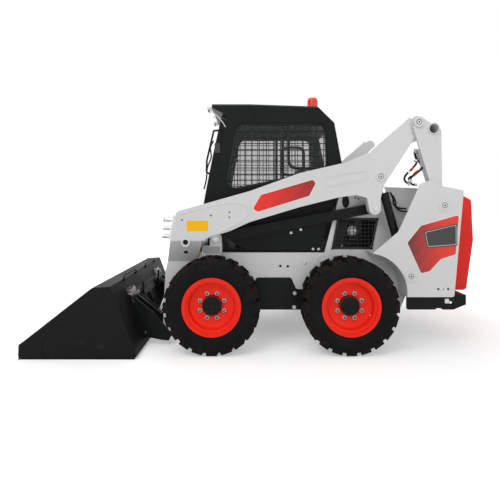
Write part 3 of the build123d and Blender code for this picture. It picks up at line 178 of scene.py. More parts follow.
def lens(name, colour, roughness=0.15, glow=0.0):
    """Clear or coloured lens plastic."""
    material, tree, bsdf = shader(name)
    ribs = noise(tree, 90.0, 1.0, (1, 1, 0.15))
    tree.links.new(tint(tree, ribs, scaled(colour, 0.8), colour), bsdf.inputs["Base Color"])
    bsdf.inputs["Roughness"].default_value = roughness
    bsdf.inputs["Coat Weight"].default_value = 0.2
    bsdf.inputs["Emission Color"].default_value = (*colour, 1)
    bsdf.inputs["Emission Strength"].default_value = glow
    bump(tree, bsdf, ribs, 0.2, 0.001)
    return material


def glass(name, colour):
    """Tinted glass, faintly wavy."""
    material, tree, bsdf = shader(name)
    wave = noise(tree, 6.0, 1.0)
    tree.links.new(tint(tree, wave, scaled(colour, 0.9), colour), bsdf.inputs["Base Color"])
    bsdf.inputs["Roughness"].default_value = 0.04
    bsdf.inputs["Alpha"].default_value = 0.2
    bsdf.inputs["Coat Weight"].default_value = 0.5
    bump(tree, bsdf, wave, 0.02, 0.0005)
    return material


def faded(name, first, last, start, end):
    """Printed film that fades from one colour to the other along X, with faint diagonal bars."""
    material, tree, bsdf = shader(name)
    coords = tree.nodes.new("ShaderNodeTexCoord")
    split = tree.nodes.new("ShaderNodeSeparateXYZ")
    tree.links.new(coords.outputs["Object"], split.inputs[0])
    along = tree.nodes.new("ShaderNodeMapRange")
    along.inputs["From Min"].default_value = start
    along.inputs["From Max"].default_value = end
    tree.links.new(split.outputs["X"], along.inputs["Value"])
    bars = tree.nodes.new("ShaderNodeTexWave")
    bars.bands_direction = "DIAGONAL"
    bars.inputs["Scale"].default_value = 6.0
    tree.links.new(coords.outputs["Object"], bars.inputs["Vector"])
    mixed = tree.nodes.new("ShaderNodeMath")
    mixed.operation = "MULTIPLY_ADD"
    mixed.inputs[1].default_value = 0.12
    tree.links.new(bars.outputs["Fac"], mixed.inputs[0])
    tree.links.new(along.outputs["Result"], mixed.inputs[2])
    tone = tint(tree, mixed.outputs[0], first, last, 0.1, 1.0)
    cover(tree, bsdf, tone, spread(tree, noise(tree, 200.0), 0.28, 0.38))
    return material


MATERIALS = {
    "body_paint": paint("white_paint", (0.685, 0.688, 0.688), 0.34, 0.97),
    "black_paint": paint("black_paint", (0.0085, 0.0095, 0.010), 0.4, 0.75, gloss=0.11),
    "red_paint": paint("red_paint", (0.86, 0.017, 0.007), 0.3, 0.93, gloss=0.22, coat=0.03),
    "orange_paint": paint("orange_paint", (0.93, 0.022, 0.006), 0.34, 0.93, gloss=0.2),
    "bucket_paint": worn_paint("bucket_paint", (0.008, 0.0075, 0.0072), (0.022, 0.019, 0.017)),
    "worn_steel": worn_paint("worn_steel", (0.012, 0.012, 0.012), (0.42, 0.40, 0.37), 0.44),
    "hook_steel": worn_paint("hook_steel", (0.05, 0.048, 0.046), (0.55, 0.53, 0.49), 0.38),
    "tyre": rubber("tyre_rubber", (0.0045, 0.0045, 0.0046), 0.5),
    "steel": metal("machined_steel", (0.62, 0.62, 0.61), 0.32),
    "chrome": metal("hard_chrome", (0.80, 0.80, 0.81), 0.12),
    "cast_iron": paint("cast_iron", (0.022, 0.022, 0.023), 0.62, 0.8, 0.8),
    "dark_plastic": plastic("dark_plastic", (0.02, 0.02, 0.021)),
    "amber_lens": lens("beacon_lens", (0.88, 0.028, 0.008), 0.25, 0.12),
    "lamp_lens": lens("lamp_lens", (0.82, 0.83, 0.85), 0.08),
    "glass": glass("tinted_glass", (0.05, 0.06, 0.06)),
    "lug_rubber": rubber("lug_rubber", (0.0085, 0.007, 0.006), 0.7),
    "yellow_plate": paint("yellow_plate", (1.0, 0.52, 0.0), 0.4, 0.95),
    "pale_edge": paint("pale_edge", (0.80, 0.79, 0.74), 0.45, 0.95),
    "red_badge": faded("red_badge", (0.80, 0.018, 0.008), (0.22, 0.005, 0.007), -0.05, -0.52),
    "side_badge": faded("side_badge", (0.13, 0.005, 0.006), (0.78, 0.020, 0.008), -1.17, -1.46),
    "grey_plate": plastic("grey_plate", (0.016, 0.017, 0.018), 0.35),
    "zinc": metal("zinc_plate", (0.52, 0.52, 0.50), 0.34),
    "mesh_wire": paint("mesh_wire", (0.010, 0.011, 0.012), 0.4, 0.8),
    "shadow": plastic("hole_shadow", (0.004, 0.004, 0.004), 0.9),
    "grey_panel": paint("grey_panel", (0.36, 0.36, 0.355), 0.45),
    "hose": rubber("hose_rubber", (0.012, 0.012, 0.013), 0.5),
    "filter": metal("filter_shell", (0.45, 0.46, 0.47), 0.4),
    "seat_vinyl": plastic("seat_vinyl", (0.022, 0.022, 0.023), 0.5, 700.0),
}


def paint_nodes():
    """Give each CAD node the material of its slot."""
    for row in frame["record"]["subparts"]:
        obj = nodes[row["node"]]
        obj.data.materials.clear()
        obj.data.materials.append(MATERIALS[row["material_slot"]])


# ---------------------------------------------------------------- shapes
# Shapes are written in millimetres.
SHARP = math.radians(32)  # edges this sharp are shaded as creases
BEVELLED = math.radians(40)  # and these are eased, where a piece has a bevel
# where rays start, clear of the machine, in metres
BESIDE, AHEAD, ABOVE = 1.5, 2.5, 2.0


class Shape:
    """Points and faces gathered from several solids, for one mesh."""

    def __init__(self):
        self.points = []
        self.faces = []

    def add(self, points, faces, place):
        """Take in a solid, moved to its place."""
        first = len(self.points)
        for point in points:
            self.points.append(place @ Vector(point) if place else Vector(point))
        self.faces.extend([first + i for i in face] for face in faces)
        return self

    def loft(self, rings, place=None, closed=False):
        """Skin through rings of equal length; the ends are capped unless the rings close."""
        count, faces = len(rings[0]), []
        steps = len(rings) if closed else len(rings) - 1
        for k in range(steps):
            a, b = k * count, (k + 1) % len(rings) * count
            for i in range(count):
                j = (i + 1) % count
                faces.append((a + i, a + j, b + j, b + i))
        if not closed:
            faces.append(tuple(reversed(range(count))))
            faces.append(tuple(range((len(rings) - 1) * count, len(rings) * count)))
        return self.add([p for ring in rings for p in ring], faces, place)

    def lathe(self, profile, place, segments):
        """A closed (radius, height) outline turned about local Z."""
        rings = []
        for k in range(segments):
            turn = math.tau * k / segments
            rings.append([(r * math.cos(turn), r * math.sin(turn), h) for r, h in profile])
        return self.loft(rings, place, closed=True)

    def disc(self, radius, low, high, place, segments, start=0.0, edge=1.0):
        """A turned disc with a small chamfer on top; six segments make a hexagon."""
        rings = []
        for r, h in ((radius, low), (radius, high - edge), (radius - edge, high)):
            ring = []
            for k in range(segments):
                turn = math.radians(start) + math.tau * k / segments
                ring.append((r * math.cos(turn), r * math.sin(turn), h))
            rings.append(ring)
        return self.loft(rings, place)

    def prism(self, outline, low, high, place):
        """An outline drawn out along local Z."""
        rings = [[(x, y, h) for x, y in outline] for h in (low, high)]
        return self.loft(rings, place)

    def band(self, outer, inner, low, high, place):
        """A frame between two outlines with the same number of points."""
        rings = []
        for (ox, oy), (ix, iy) in zip(outer, inner):
            rings.append([(ox, oy, low), (ox, oy, high), (ix, iy, high), (ix, iy, low)])
        return self.loft(rings, place, closed=True)

    def pipe(self, points, radius, sides=10):
        """A round tube along a smooth path through the points."""
        path = smooth_path([Vector(p) for p in points])
        rings = []
        normal = None
        for k, point in enumerate(path):
            along = (path[min(k + 1, len(path) - 1)] - path[max(k - 1, 0)]).normalized()
            if normal is None:
                normal = along.orthogonal().normalized()
            normal = (normal - along * normal.dot(along)).normalized()
            across = along.cross(normal)
            ring = []
            for i in range(sides):
                turn = math.tau * i / sides
                ring.append(point + radius * (math.cos(turn) * normal + math.sin(turn) * across))
            rings.append(ring)
        return self.loft(rings)

    def bolt(self, place, radius, height):
        """A hexagon head on a washer."""
        self.disc(radius * 1.45, -1.0, 2.0, place, 24)
        return self.disc(radius, 1.5, 2.0 + height, place, 6, edge=radius * 0.12)


def smooth_path(points):
    """Points on a Catmull-Rom curve through the given ones."""
    if len(points) < 3:
        return points
    path, steps = [], 6
    ends = [2 * points[0] - points[1], *points, 2 * points[-1] - points[-2]]
    for a, b, c, d in zip(ends, ends[1:], ends[2:], ends[3:]):
        for k in range(steps):
            t = k / steps
            path.append(
                0.5 * (2 * b + (c - a) * t + (2 * a - 5 * b + 4 * c - d) * t**2
                       + (3 * b - a - 3 * c + d) * t**3)
            )
    path.append(points[-1])
    return path


def rounded(outline, radius, steps=6):
    """An outline with its corners rounded."""
    result = []
    count = len(outline)
    for i in range(count):
        before, here, after = (Vector(outline[(i + k) % count]) for k in (-1, 0, 1))
        to_before, to_after = (before - here).normalized(), (after - here).normalized()
        half = to_before.angle(to_after) / 2
        edges = (before - here).length, (after - here).length
        back = min(radius / math.tan(half), 0.48 * edges[0], 0.48 * edges[1])
        first, last = here + to_before * back, here + to_after * back
        for k in range(steps + 1):
            t = k / steps
            point = first * (1 - t) ** 2 + 2 * here * t * (1 - t) + last * t**2
            result.append(tuple(point))
    return result


def inset(outline, distance):
    """A convex outline moved in (positive) or out along its edges' normals."""
    middle = sum((Vector(p) for p in outline), Vector((0, 0))) / len(outline)
    result = []
    count = len(outline)
    for i in range(count):
        before, here, after = (Vector(outline[(i + k) % count]) for k in (-1, 0, 1))
        normals = []
        for a, b in ((before, here), (here, after)):
            normal = Vector((b.y - a.y, a.x - b.x)).normalized()
            if normal.dot(middle - (a + b) / 2) < 0:
                normal = -normal
            normals.append(normal)
        corner = (normals[0] + normals[1]).normalized()
        result.append(tuple(here + corner * distance / max(0.3, corner.dot(normals[0]))))
    return result


def beside(x, y, z, side=1):
    """Local X, Y and Z to forward, up and outward, at a point of that side."""
    return Matrix(((1, 0, 0, x), (0, 0, side, side * y), (0, 1, 0, z), (0, 0, 0, 1)))


def ahead(x, y, z):
    """Local Z forward, local X to the left."""
    return Matrix(((0, 0, 1, x), (1, 0, 0, y), (0, 1, 0, z), (0, 0, 0, 1)))


def upright(x, y, z):
    """Local Z up."""
    return Matrix.Translation((x, y, z))


def facing(normal):
    """The turn that brings local Z to a normal."""
    return Vector(normal).to_track_quat("Z", "Y").to_matrix().to_4x4()


def piece(name, shape, material, body, slot=None, bevel=0.0, replaces=(), soften=None):
    """Make the mesh, in metres, and ride it on its body."""
    mesh = bpy.data.meshes.new(name)
    bm = bmesh.new()
    corners = [bm.verts.new(p / MM) for p in shape.points]
    for face in shape.faces:
        bm.faces.new([corners[i] for i in face])
    bmesh.ops.recalc_face_normals(bm, faces=bm.faces)
    bm.to_mesh(mesh)
    bm.free()
    mesh.shade_smooth()
    mesh.set_sharp_from_angle(angle=SHARP)
    obj = bpy.data.objects.new(name, mesh)
    bpy.context.scene.collection.objects.link(obj)
    obj.data.materials.append(MATERIALS[material])
    if bevel:
        modifier = obj.modifiers.new("edges", "BEVEL")
        modifier.width = bevel / MM
        modifier.segments = 2
        modifier.limit_method = "ANGLE"
        modifier.angle_limit = BEVELLED
        modifier.harden_normals = True
    if soften:
        soften(obj)
    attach(obj, body)
    if replaces:
        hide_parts(*replaces)
    return obj


def plate(name, outline, radius, low, high, place, *look, **more):
    """A thin plate with rounded corners."""
    piece(name, Shape().prism(rounded(outline, radius), low, high, place), *look, **more)


def met(name, start, aim, axis):
    """Where a ray in metres first meets a CAD node: one coordinate in millimetres, or None."""
    hit, point, _, _ = nodes[name].ray_cast(Vector(start), Vector(aim))
    return point[axis] * MM if hit else None


def surface_y(names, x, z, side):
    """How far out the outermost of these CAD nodes is at a point seen from the side."""
    found = [met(name, (x / MM, side * BESIDE, z / MM), (0, -side, 0), 1) for name in names]
    return max([0.0] + [side * y for y in found if y is not None])


def front_x(y, z, names):
    """How far forward the foremost of these CAD nodes is."""
    found = [met(name, (AHEAD, y / MM, z / MM), (-1, 0, 0), 0) for name in names]
    return max([0.0] + [x for x in found if x is not None])


def bolts(name, material, body, where, names, radius, height):
    """Bolt heads seated on CAD nodes on both sides."""
    for label, side in SIDES:
        shape = Shape()
        for x, z in where:
            y = surface_y(names, x, z, side)
            if y > 0:
                shape.bolt(beside(x, y, z, side), radius, height)
        piece(f"{name}_{label}", shape, material, body, "steel")


def dark_discs(name, body, where, names, radius):
    """Thin discs of painted shade where holes show."""
    for label, side in SIDES:
        shape = Shape()
        for x, z in where:
            y = surface_y(names, x, z, side)
            shape.disc(radius, 0.0, 0.8, beside(x, y, z, side), 28, edge=0.4)
        piece(f"{name}_{label}", shape, "shadow", body, "black_paint")


# ---------------------------------------------------------------- wheels
WHEELS = {"front": 358.0, "rear": -712.0}
VALVE_TURN = {"front": 90, "rear": 205}
TRACK = 698.0  # middle of a tyre, from the middle plane
AXLE_Z = 375.0
LUGS = 20
# along the lug: distance from the tyre's middle, root radius, top radius, half width in degrees
LUG = (
    (4, 346, 374, 2.6, -7.0),
    (50, 347, 374.5, 3.0, -4.5),
    (82, 350, 374.5, 4.8, -2.0),
    (105, 346, 374.2, 6.1, -0.4),
    (115, 338, 370.0, 6.3, 0.0),
    (124, 324, 355.0, 6.2, 0.0),
    (130.3, 318, 334.0, 5.9, 0.0),
    (128.0, 314, 323.0, 5.2, 0.0),
)
CARCASS = (
    (107.5, 206.5), (107.5, 231), (112, 234.5), (117, 236), (124.5, 250), (126.5, 262),
    (130.0, 275), (131.8, 288), (131.3, 300), (132.4, 303), (132.4, 308), (130.6, 311),
    (127.5, 318), (122, 330), (118, 340), (105, 352), (80, 357),
)  # fmt: skip
RIM_RING = (
    (226, 114), (223, 116), (216, 114.5), (212, 108), (205, 103), (203, 98), (192, 96), (183, 92),
    (178, 84), (176, 60), (169, 48), (155, 41), (135, 38), (135, 36), (206, 36), (206, 107),
)  # fmt: skip
NUT_CIRCLE = 101.5
NUT_SEAT = 36.5  # out from the tyre's middle
HUB_CAP = (
    (0, 30), (78, 30), (78, 56), (75, 62), (66, 65), (61, 65.5), (59, 68), (45, 69.5), (42, 67),
    (31, 67), (28, 71), (0, 72),
)  # fmt: skip


def build_wheel(end, label, side):
    """Carcass, lugs, rim, hub cap, nuts and valve of one wheel."""
    body = f"wheel_{end}_{label}"
    place = beside(WHEELS[end], TRACK, AXLE_Z, side)

    tyre = Shape()
    profile = [(r, y) for y, r in CARCASS]
    tyre.lathe(profile + [(r, -y) for r, y in reversed(profile)], place, 120)
    piece(f"tyre_wall_{end}_{label}", tyre, "tyre", body, replaces=(f"tyre_{end}_{label}",))
    tread = Shape()
    for row in (1, -1):
        for k in range(LUGS):
            middle = 360 / LUGS * (k + (0.0 if row > 0 else 0.5))
            rings = []
            for y, root, top, half, lean in LUG:
                ring = []
                for radius, factor in ((root, 1.12), (root, -1.12), (top, -1.0), (top, 1.0)):
                    turn = math.radians(middle + lean + half * factor)
                    ring.append((radius * math.cos(turn), radius * math.sin(turn), row * y))
                rings.append(ring)
            tread.loft(rings, place)
    piece(f"tread_{end}_{label}", tread, "lug_rubber", body, "tyre", 1.8)

    piece(f"rim_contour_{end}_{label}", Shape().lathe(RIM_RING, place, 96), "orange_paint", body)
    piece(f"hub_cap_{end}_{label}", Shape().lathe(HUB_CAP, place, 64), "black_paint", body)
    nuts, studs = Shape(), Shape()
    for k in range(8):
        turn = math.radians(22.5 + 45 * k)
        x = WHEELS[end] + NUT_CIRCLE * math.cos(turn)
        at = beside(x, TRACK + NUT_SEAT, AXLE_Z + NUT_CIRCLE * math.sin(turn), side)
        nuts.disc(16.5, 0, 4, at, 24).disc(14.5, 3, 18, at, 6, 15 * k, 1.6)
        studs.disc(8.4, 0, 24, at, 16)
    piece(f"wheel_nuts_{end}_{label}", nuts, "zinc", body, "steel")
    piece(f"wheel_studs_{end}_{label}", studs, "cast_iron", body)
    turn = math.radians(VALVE_TURN[end])
    points = []
    for y, radius in ((52, 168), (63, 181), (66, 192)):
        x = WHEELS[end] + radius * math.cos(turn)
        points.append((x, side * (TRACK + y), AXLE_Z + radius * math.sin(turn)))
    piece(f"valve_{end}_{label}", Shape().pipe(points, 3.6), "zinc", body, "steel")


for end in ENDS:
    for label, side in SIDES:
        build_wheel(end, label, side)

# ---------------------------------------------------------------- arms, links and uprights
ARM = ("lift_arm",)
TOWER = ("rear_uprights", "chassis_frame", "pivot_pins")
FRAME = ("chassis_frame", "belly_guards")
BADGE = ((50, 1123), (1, 1096), (-408, 1223), (-466, 1332), (-434, 1364), (-18, 1242))
SIDE_BADGE = (
    (-1568, 1089), (-1264, 1003), (-1152, 866), (-1264, 618), (-1338, 636), (-1425, 730),
    (-1543, 767),
)  # fmt: skip
SIDE_BADGE_FACE = (
    (-1561, 1080), (-1267, 996), (-1161, 864), (-1268, 626), (-1334, 643), (-1421, 737),
    (-1536, 774),
)  # fmt: skip
SIDE_PANEL = ((-1288, 953), (-1549, 1015), (-1549, 841), (-1313, 823))
ARM_PLATE = ((387, 944), (568, 944), (568, 1039), (387, 1039))

for label, side in SIDES:
    flat = beside(0, surface_y(ARM, -200, 1230, side), 0, side)
    look = ("lift_arm", "body_paint")
    plate(f"arm_badge_edge_{label}", BADGE, 26, -1, 0.6, flat, "pale_edge", *look)
    face = inset(BADGE, 7)
    plate(f"arm_badge_{label}", face, 22, -1, 1.2, flat, "red_badge", "lift_arm", "red_paint")
    flat = beside(0, surface_y(ARM, 480, 990, side), 0, side)
    plate(f"arm_plate_{label}", ARM_PLATE, 10, -1, 1.0, flat, "yellow_plate", *look)
    rim = Shape().band(rounded(ARM_PLATE, 10), rounded(inset(ARM_PLATE, 5), 7), 0.8, 1.8, flat)
    piece(f"arm_plate_edge_{label}", rim, "pale_edge", *look)

    flat = beside(0, surface_y(TOWER, -1400, 900, side), 0, side)
    look = ("pale_edge", "chassis", "body_paint")
    plate(f"side_badge_edge_{label}", SIDE_BADGE, 22, -1, 0.6, flat, *look)
    look = ("side_badge", "chassis", "red_paint")
    plate(f"side_badge_{label}", SIDE_BADGE_FACE, 18, -1, 1.2, flat, *look)
    look = ("grey_plate", "chassis", "dark_plastic", 0.6)
    plate(f"side_panel_{label}", SIDE_PANEL, 12, 0, 2.0, flat, *look)
    inner = inset(SIDE_PANEL, 9)
    edge = Shape().band(rounded(inner, 9), rounded(inset(inner, 3), 7), 1.8, 2.6, flat)
    piece(f"side_panel_edge_{label}", edge, "pale_edge", "chassis", "dark_plastic")

RING_RISE = 5.0  # of a pin's ring, at most
RING_LEAST = 2.0
PIN_END_Y = 751.0  # outer end of the uprights' pins, and so of the rings round them
# pin heads, each on its boss: body, CAD nodes under it, pin centre, ring radius
PINS = (
    ("lift_arm", ARM, (-970, 1383), 40),
    ("chassis", TOWER, (-1450, 1155), 36),
    ("chassis", TOWER, (-1189, 604), 36),
    ("rear_links", ("rear_links", "lift_arm"), (-1257, 1805), 40),
)


def ring(radius, hole, low, high, place):
    """A flat ring with its outer and inner rims eased."""
    profile = (
        (hole, low), (radius, low), (radius, high - 2), (radius - 2, high), (hole + 2, high),
        (hole, high - 2),
    )  # fmt: skip
    return Shape().lathe(profile, place, 48)


for k, (body, names, (x, z), radius) in enumerate(PINS):
    for label, side in SIDES:
        y = max(surface_y(names, x + dx, z, side) for dx in (6 - radius, 0, radius - 6))
        at = beside(x, y, z, side)
        room = PIN_END_Y - y if body == "chassis" else RING_RISE
        rise = max(min(room, RING_RISE), RING_LEAST)
        piece(f"pin_ring_{k}_{label}", ring(radius, 23, -3, rise, at), "body_paint", body)
        recess = Shape().disc(24, -3, 0.8, at, 36)
        piece(f"pin_recess_{k}_{label}", recess, "grey_panel", body, "body_paint")
        head = Shape().disc(16.5, 0, rise + 1, at, 6, 20, 1.5)
        piece(f"pin_hexagon_{k}_{label}", head, "zinc", body, "steel")
        middle = Shape().disc(7, 0, rise + 1.5, at, 20, edge=0.4)
        piece(f"pin_middle_{k}_{label}", middle, "shadow", body, "black_paint")

bolts("link_pin_heads", "zinc", "lift_arm", ((-925, 1127),), ARM, 15, 6)
dark_discs("arm_holes", "lift_arm", ((598, 1041), (368, 1076)), ARM, 9)
dark_discs("arm_dots", "lift_arm", ((225, 1100), (225, 1061)), ARM, 5)
PRESSING = (
    (616, 1081), (484, 1118), (287, 1164), (155, 1167), (96, 1144), (76, 1092), (109, 1045),
    (195, 993), (300, 940), (392, 910),
)  # fmt: skip
for label, side in SIDES:
    points = [(x, side * (surface_y(ARM, x, z, side) - 1), z) for x, z in PRESSING]
    piece(f"arm_pressing_{label}", Shape().pipe(points, 4.5, 12), "body_paint", "lift_arm")
dark_discs("arm_knee_hole", "lift_arm", ((573, 862),), ARM, 21)

LEG_HOLE = (582, 609, 775)  # on the sloping plate between the arm's beam and its leg
LEG_SLOPE = (0.753, -0.658)  # that plate's normal, outward and up
for label, side in SIDES:
    x, y, z = LEG_HOLE
    at = upright(x, side * y, z) @ facing((0, side * LEG_SLOPE[0], LEG_SLOPE[1]))
    hole = Shape().disc(18, -4, 1.0, at, 32, edge=0.4)
    piece(f"arm_leg_hole_{label}", hole, "shadow", "lift_arm", "black_paint")

# ---------------------------------------------------------------- chassis side
where = ((-49, 638), (-63, 574), (-129, 676), (-221, 585))
bolts("side_bolts", "zinc", "chassis", where, FRAME, 9, 6)
dark_discs("side_holes", "chassis", ((-188, 651), (-250, 648)), FRAME, 11)
bolts("guard_bolts", "zinc", "chassis", ((-307, 426), (-302, 311)), FRAME, 11, 7)
dark_discs("slot_holes", "chassis", ((-809, 1216), (-836, 1209)), FRAME, 7)
EYELET = (-390, 680)
EMBOSSING = (-539, 690)
SLOT = (-730, 1185)
SLOT_HALF = (30, 53)
for label, side in SIDES:
    (x, z), y = EYELET, surface_y(FRAME, *EYELET, side)
    eyelet = ((13, -1), (20, -1), (20, 1), (18, 2.2), (14, 2.2), (13, 1))
    eyelet = Shape().lathe(eyelet, beside(x, y, z, side), 32)
    piece(f"side_eyelet_{label}", eyelet, "zinc", "chassis", "steel")
    (x, z), y = EMBOSSING, surface_y(FRAME, *EMBOSSING, side)
    foot = ((40, -1), (60, -1), (60, 0.5), (56, 2), (44, 2), (40, 0.5))
    foot = Shape().lathe(foot, beside(x, y, z, side), 48)
    piece(f"side_embossing_{label}", foot, "body_paint", "chassis", bevel=0.6)
    (x, z), y = SLOT, surface_y(FRAME, *SLOT, side)
    oval = []
    for k in range(32):
        turn = math.tau * k / 32
        oval.append((SLOT_HALF[0] * math.cos(turn), SLOT_HALF[1] * math.sin(turn)))
    slot = Shape().prism(oval, -1, 0.8, beside(x, y, z, side))
    piece(f"side_slot_{label}", slot, "shadow", "chassis", "black_paint")

GRILLE = [(-690, 800), (-940, 800), (-990, 1050), (-760, 1050)]  # opening in the side plate
GUARD = [(-611, 792), (-948, 792), (-1000, 1046), (-660, 1052)]  # frame of mesh over it
SCREEN = [(180, 1850), (-581, 1850), (-598, 1449), (289, 1265)]
SLIDER = [(-254, 1460), (-520, 1455), (-520, 1771), (-254, 1771)]  # sliding pane behind the screen
SLIDER_BAR = (-230, -218, -205)  # rear edge, where its height is taken, front edge
FILTER = (
    (0, -110), (46, -110), (48, -104), (48, -20), (44, -6), (30, 0), (28, -4), (12, -4), (10, 0),
    (0, 0),
)  # fmt: skip


def span(outline, value, axis):
    """Where a line across a convex outline enters and leaves it."""
    found = []
    for (ax, az), (bx, bz) in zip(outline, outline[1:] + outline[:1]):
        a, b = ((ax, az), (bx, bz)) if axis == 0 else ((az, ax), (bz, bx))
        if (a[0] - value) * (b[0] - value) < 0:
            found.append(a[1] + (b[1] - a[1]) * (value - a[0]) / (b[0] - a[0]))
    return (min(found), max(found)) if len(found) == 2 else None


def wires(shape, outline, pitch, y, radius, side):
    """Upright and level wires across an outline, woven one behind the other."""
    for axis in (0, 1):
        low = min(p[axis] for p in outline)
        high = max(p[axis] for p in outline)
        step = pitch[axis]
        value = low + step / 2
        while value < high:
            ends = span(outline, value, axis)
            if ends:
                depth = side * (y + (radius if axis else -radius) * 0.8)
                points = [(value, depth, e) if axis == 0 else (e, depth, value) for e in ends]
                shape.pipe(points, radius, 6)
            value += step


for label, side in SIDES:
    flat = beside(0, 0, 0, side)
    # a dark sheet of painted shade behind the mesh, between its frame and the opening, where the
    # side plate would show through
    dark = Shape().band(GUARD, GRILLE, 528, 531, flat)
    piece(f"grille_painted_shade_{label}", dark, "shadow", "chassis", "black_paint")
    look = ("mesh_wire", "chassis", "black_paint")
    grid = Shape()
    grid.band(rounded(GUARD, 14), rounded(inset(GUARD, 12), 8), 530, 537, flat)
    wires(grid, rounded(GUARD, 14), (31, 31), 534, 3.0, side)
    for x, z in inset(GUARD, 6):
        grid.bolt(beside(x, 536, z, side), 7, 3)
    piece(f"grille_{label}", grid, *look, replaces=("side_grilles",))

    screen = Shape()
    frame_line = rounded(SCREEN, 90, 8)
    screen.band(frame_line, rounded(inset(SCREEN, 16), 76, 8), 440.5, 449, flat)
    wires(screen, frame_line, (61, 52), 445, 3.8, side)
    piece(f"window_mesh_{label}", screen, *look, replaces=("cab_side_screens",))

    first, middle, last = SLIDER_BAR
    low, high = span(frame_line, middle, 0)
    bar = Shape().prism(((first, low), (last, low), (last, high), (first, high)), 428, 435, flat)
    piece(f"sliding_window_bar_{label}", bar, "black_paint", "chassis", bevel=1.5)
    outer, inner = rounded(SLIDER, 85, 8), rounded(inset(SLIDER, 24), 62, 8)
    gasket = Shape().band(outer, inner, 424, 435, flat)
    piece(f"window_gasket_{label}", gasket, "hose", "chassis", "black_paint", 2.0)
    case = Shape().lathe(FILTER, beside(-800, 480, 938, side), 48)
    piece(f"filter_{label}", case, "filter", "chassis", "steel")

# ---------------------------------------------------------------- cab
CAB = ("cab_side_left", "cab_side_right", "cab_roof")
where = ((-283, 921), (-365, 948), (-468, 784), (-515, 784))
bolts("cab_bolts", "zinc", "chassis", where, CAB, 8, 5)
bolts("roof_bolts", "black_paint", "chassis", ((25, 1914), (-459, 1897), (312, 1415)), CAB, 9, 5)

seat_low, seat_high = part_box("seat")
SEAT_HALF = (seat_high[1] - seat_low[1]) * MM / 2 - 14

VOXEL = 0.007
SWELL = 0.013  # furthest that the cloth may move, in metres
CLOTH_STEPS = 20


def evaluated(obj):
    """The object's mesh with its modifiers applied."""
    return bpy.data.meshes.new_from_object(obj.evaluated_get(bpy.context.evaluated_depsgraph_get()))


def seam(height, distance, width):
    """Relief of a line of sewing at a distance from it."""
    return height * math.exp(-((distance / width) ** 2))


def upholster(obj, place, size, channels):
    """Remesh a pad, swell it as cloth under air pressure, then sew its channels and welt."""
    remesh = obj.modifiers.new("voxels", "REMESH")
    remesh.mode = "VOXEL"
    remesh.voxel_size = VOXEL
    obj.data = evaluated(obj)
    obj.modifiers.clear()
    start = [v.co.copy() for v in obj.data.vertices]
    cloth = obj.modifiers.new("cloth", "CLOTH")
    cloth.settings.quality = 4
    cloth.settings.use_pressure = True
    cloth.settings.uniform_pressure_force = 4.0
    cloth.settings.effector_weights.gravity = 0.0
    for step in range(1, CLOTH_STEPS + 1):
        bpy.context.scene.frame_set(step)
    swollen = evaluated(obj)
    obj.modifiers.clear()
    for vertex, before, after in zip(obj.data.vertices, start, swollen.vertices):
        move = after.co - before
        vertex.co = before + move.normalized() * min(move.length, SWELL)
    bpy.context.scene.frame_set(1)
    inverse = place.inverted()
    normals = [v.normal.copy() for v in obj.data.vertices]
    for vertex, normal in zip(obj.data.vertices, normals):
        local = inverse @ (vertex.co * MM)
        on_top = min(1.0, max(0.0, local.z / (size[2] * 0.3)))
        between = 1.0 if abs(local.y) < max(channels) else 0.0
        sink = 0.0
        for y in channels:
            sink += seam(6.5, local.y - y, 7) * on_top
        for x in (-0.17 * size[0], 0.17 * size[0]):
            sink += seam(4.5, local.x - x, 7) * on_top * between
        welt = seam(3.5, local.z - 0.24 * size[2], 4.5)
        vertex.co += normal * (welt * (1 - on_top * 0.4) - sink) / MM
    obj.data.shade_smooth()
    obj.data.materials.clear()
    obj.data.materials.append(MATERIALS["seat_vinyl"])


def pad(name, centre, size, tilt, channels):
    """A crowned cushion pulled in between its corners, upholstered with sewn channels."""
    long, wide, thick = size
    rings = []
    for level in (-1.0, -0.86, -0.4, 0.25, 0.7, 0.92, 1.0):
        edge = 1 - 0.13 * abs(level) ** 3
        ring = []
        for k in range(48):
            turn = math.tau * (k + 0.5) / 48
            c, s = math.cos(turn), math.sin(turn)
            x = math.copysign(abs(c) ** 0.3, c)
            y = math.copysign(abs(s) ** 0.3, s)
            pull = 0.965 + 0.035 * (x * y) ** 2
            x, y = x * long / 2 * edge * pull, y * wide / 2 * edge * pull
            ring.append((x, y, level * thick / 2))
        rings.append(ring)
    rim = rings[-1]
    for shrink, rise in ((0.72, 0.10), (0.42, 0.18), (0.12, 0.21)):
        rings.append([(x * shrink, y * shrink, thick / 2 * (1 + rise)) for x, y, _ in rim])
    place = Matrix.Translation(centre) @ Matrix.Rotation(tilt, 4, "Y")
    obj = piece(name, Shape().loft(rings, place), "seat_vinyl", "chassis",
                soften=lambda o: upholster(o, place, size, channels))
    obj.modifiers.new("round", "SUBSURF").render_levels = 1
    return obj


size = (380, 2 * SEAT_HALF - 20, 74)
cushion = pad("seat_cushion", (-190, 0, 1008), size, 0.0, (-125, 125))
size = (390, 2 * SEAT_HALF - 46, 66)
pad("seat_back", (-400, 0, 1325), size, math.radians(82), (-115, 115))
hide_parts("seat")

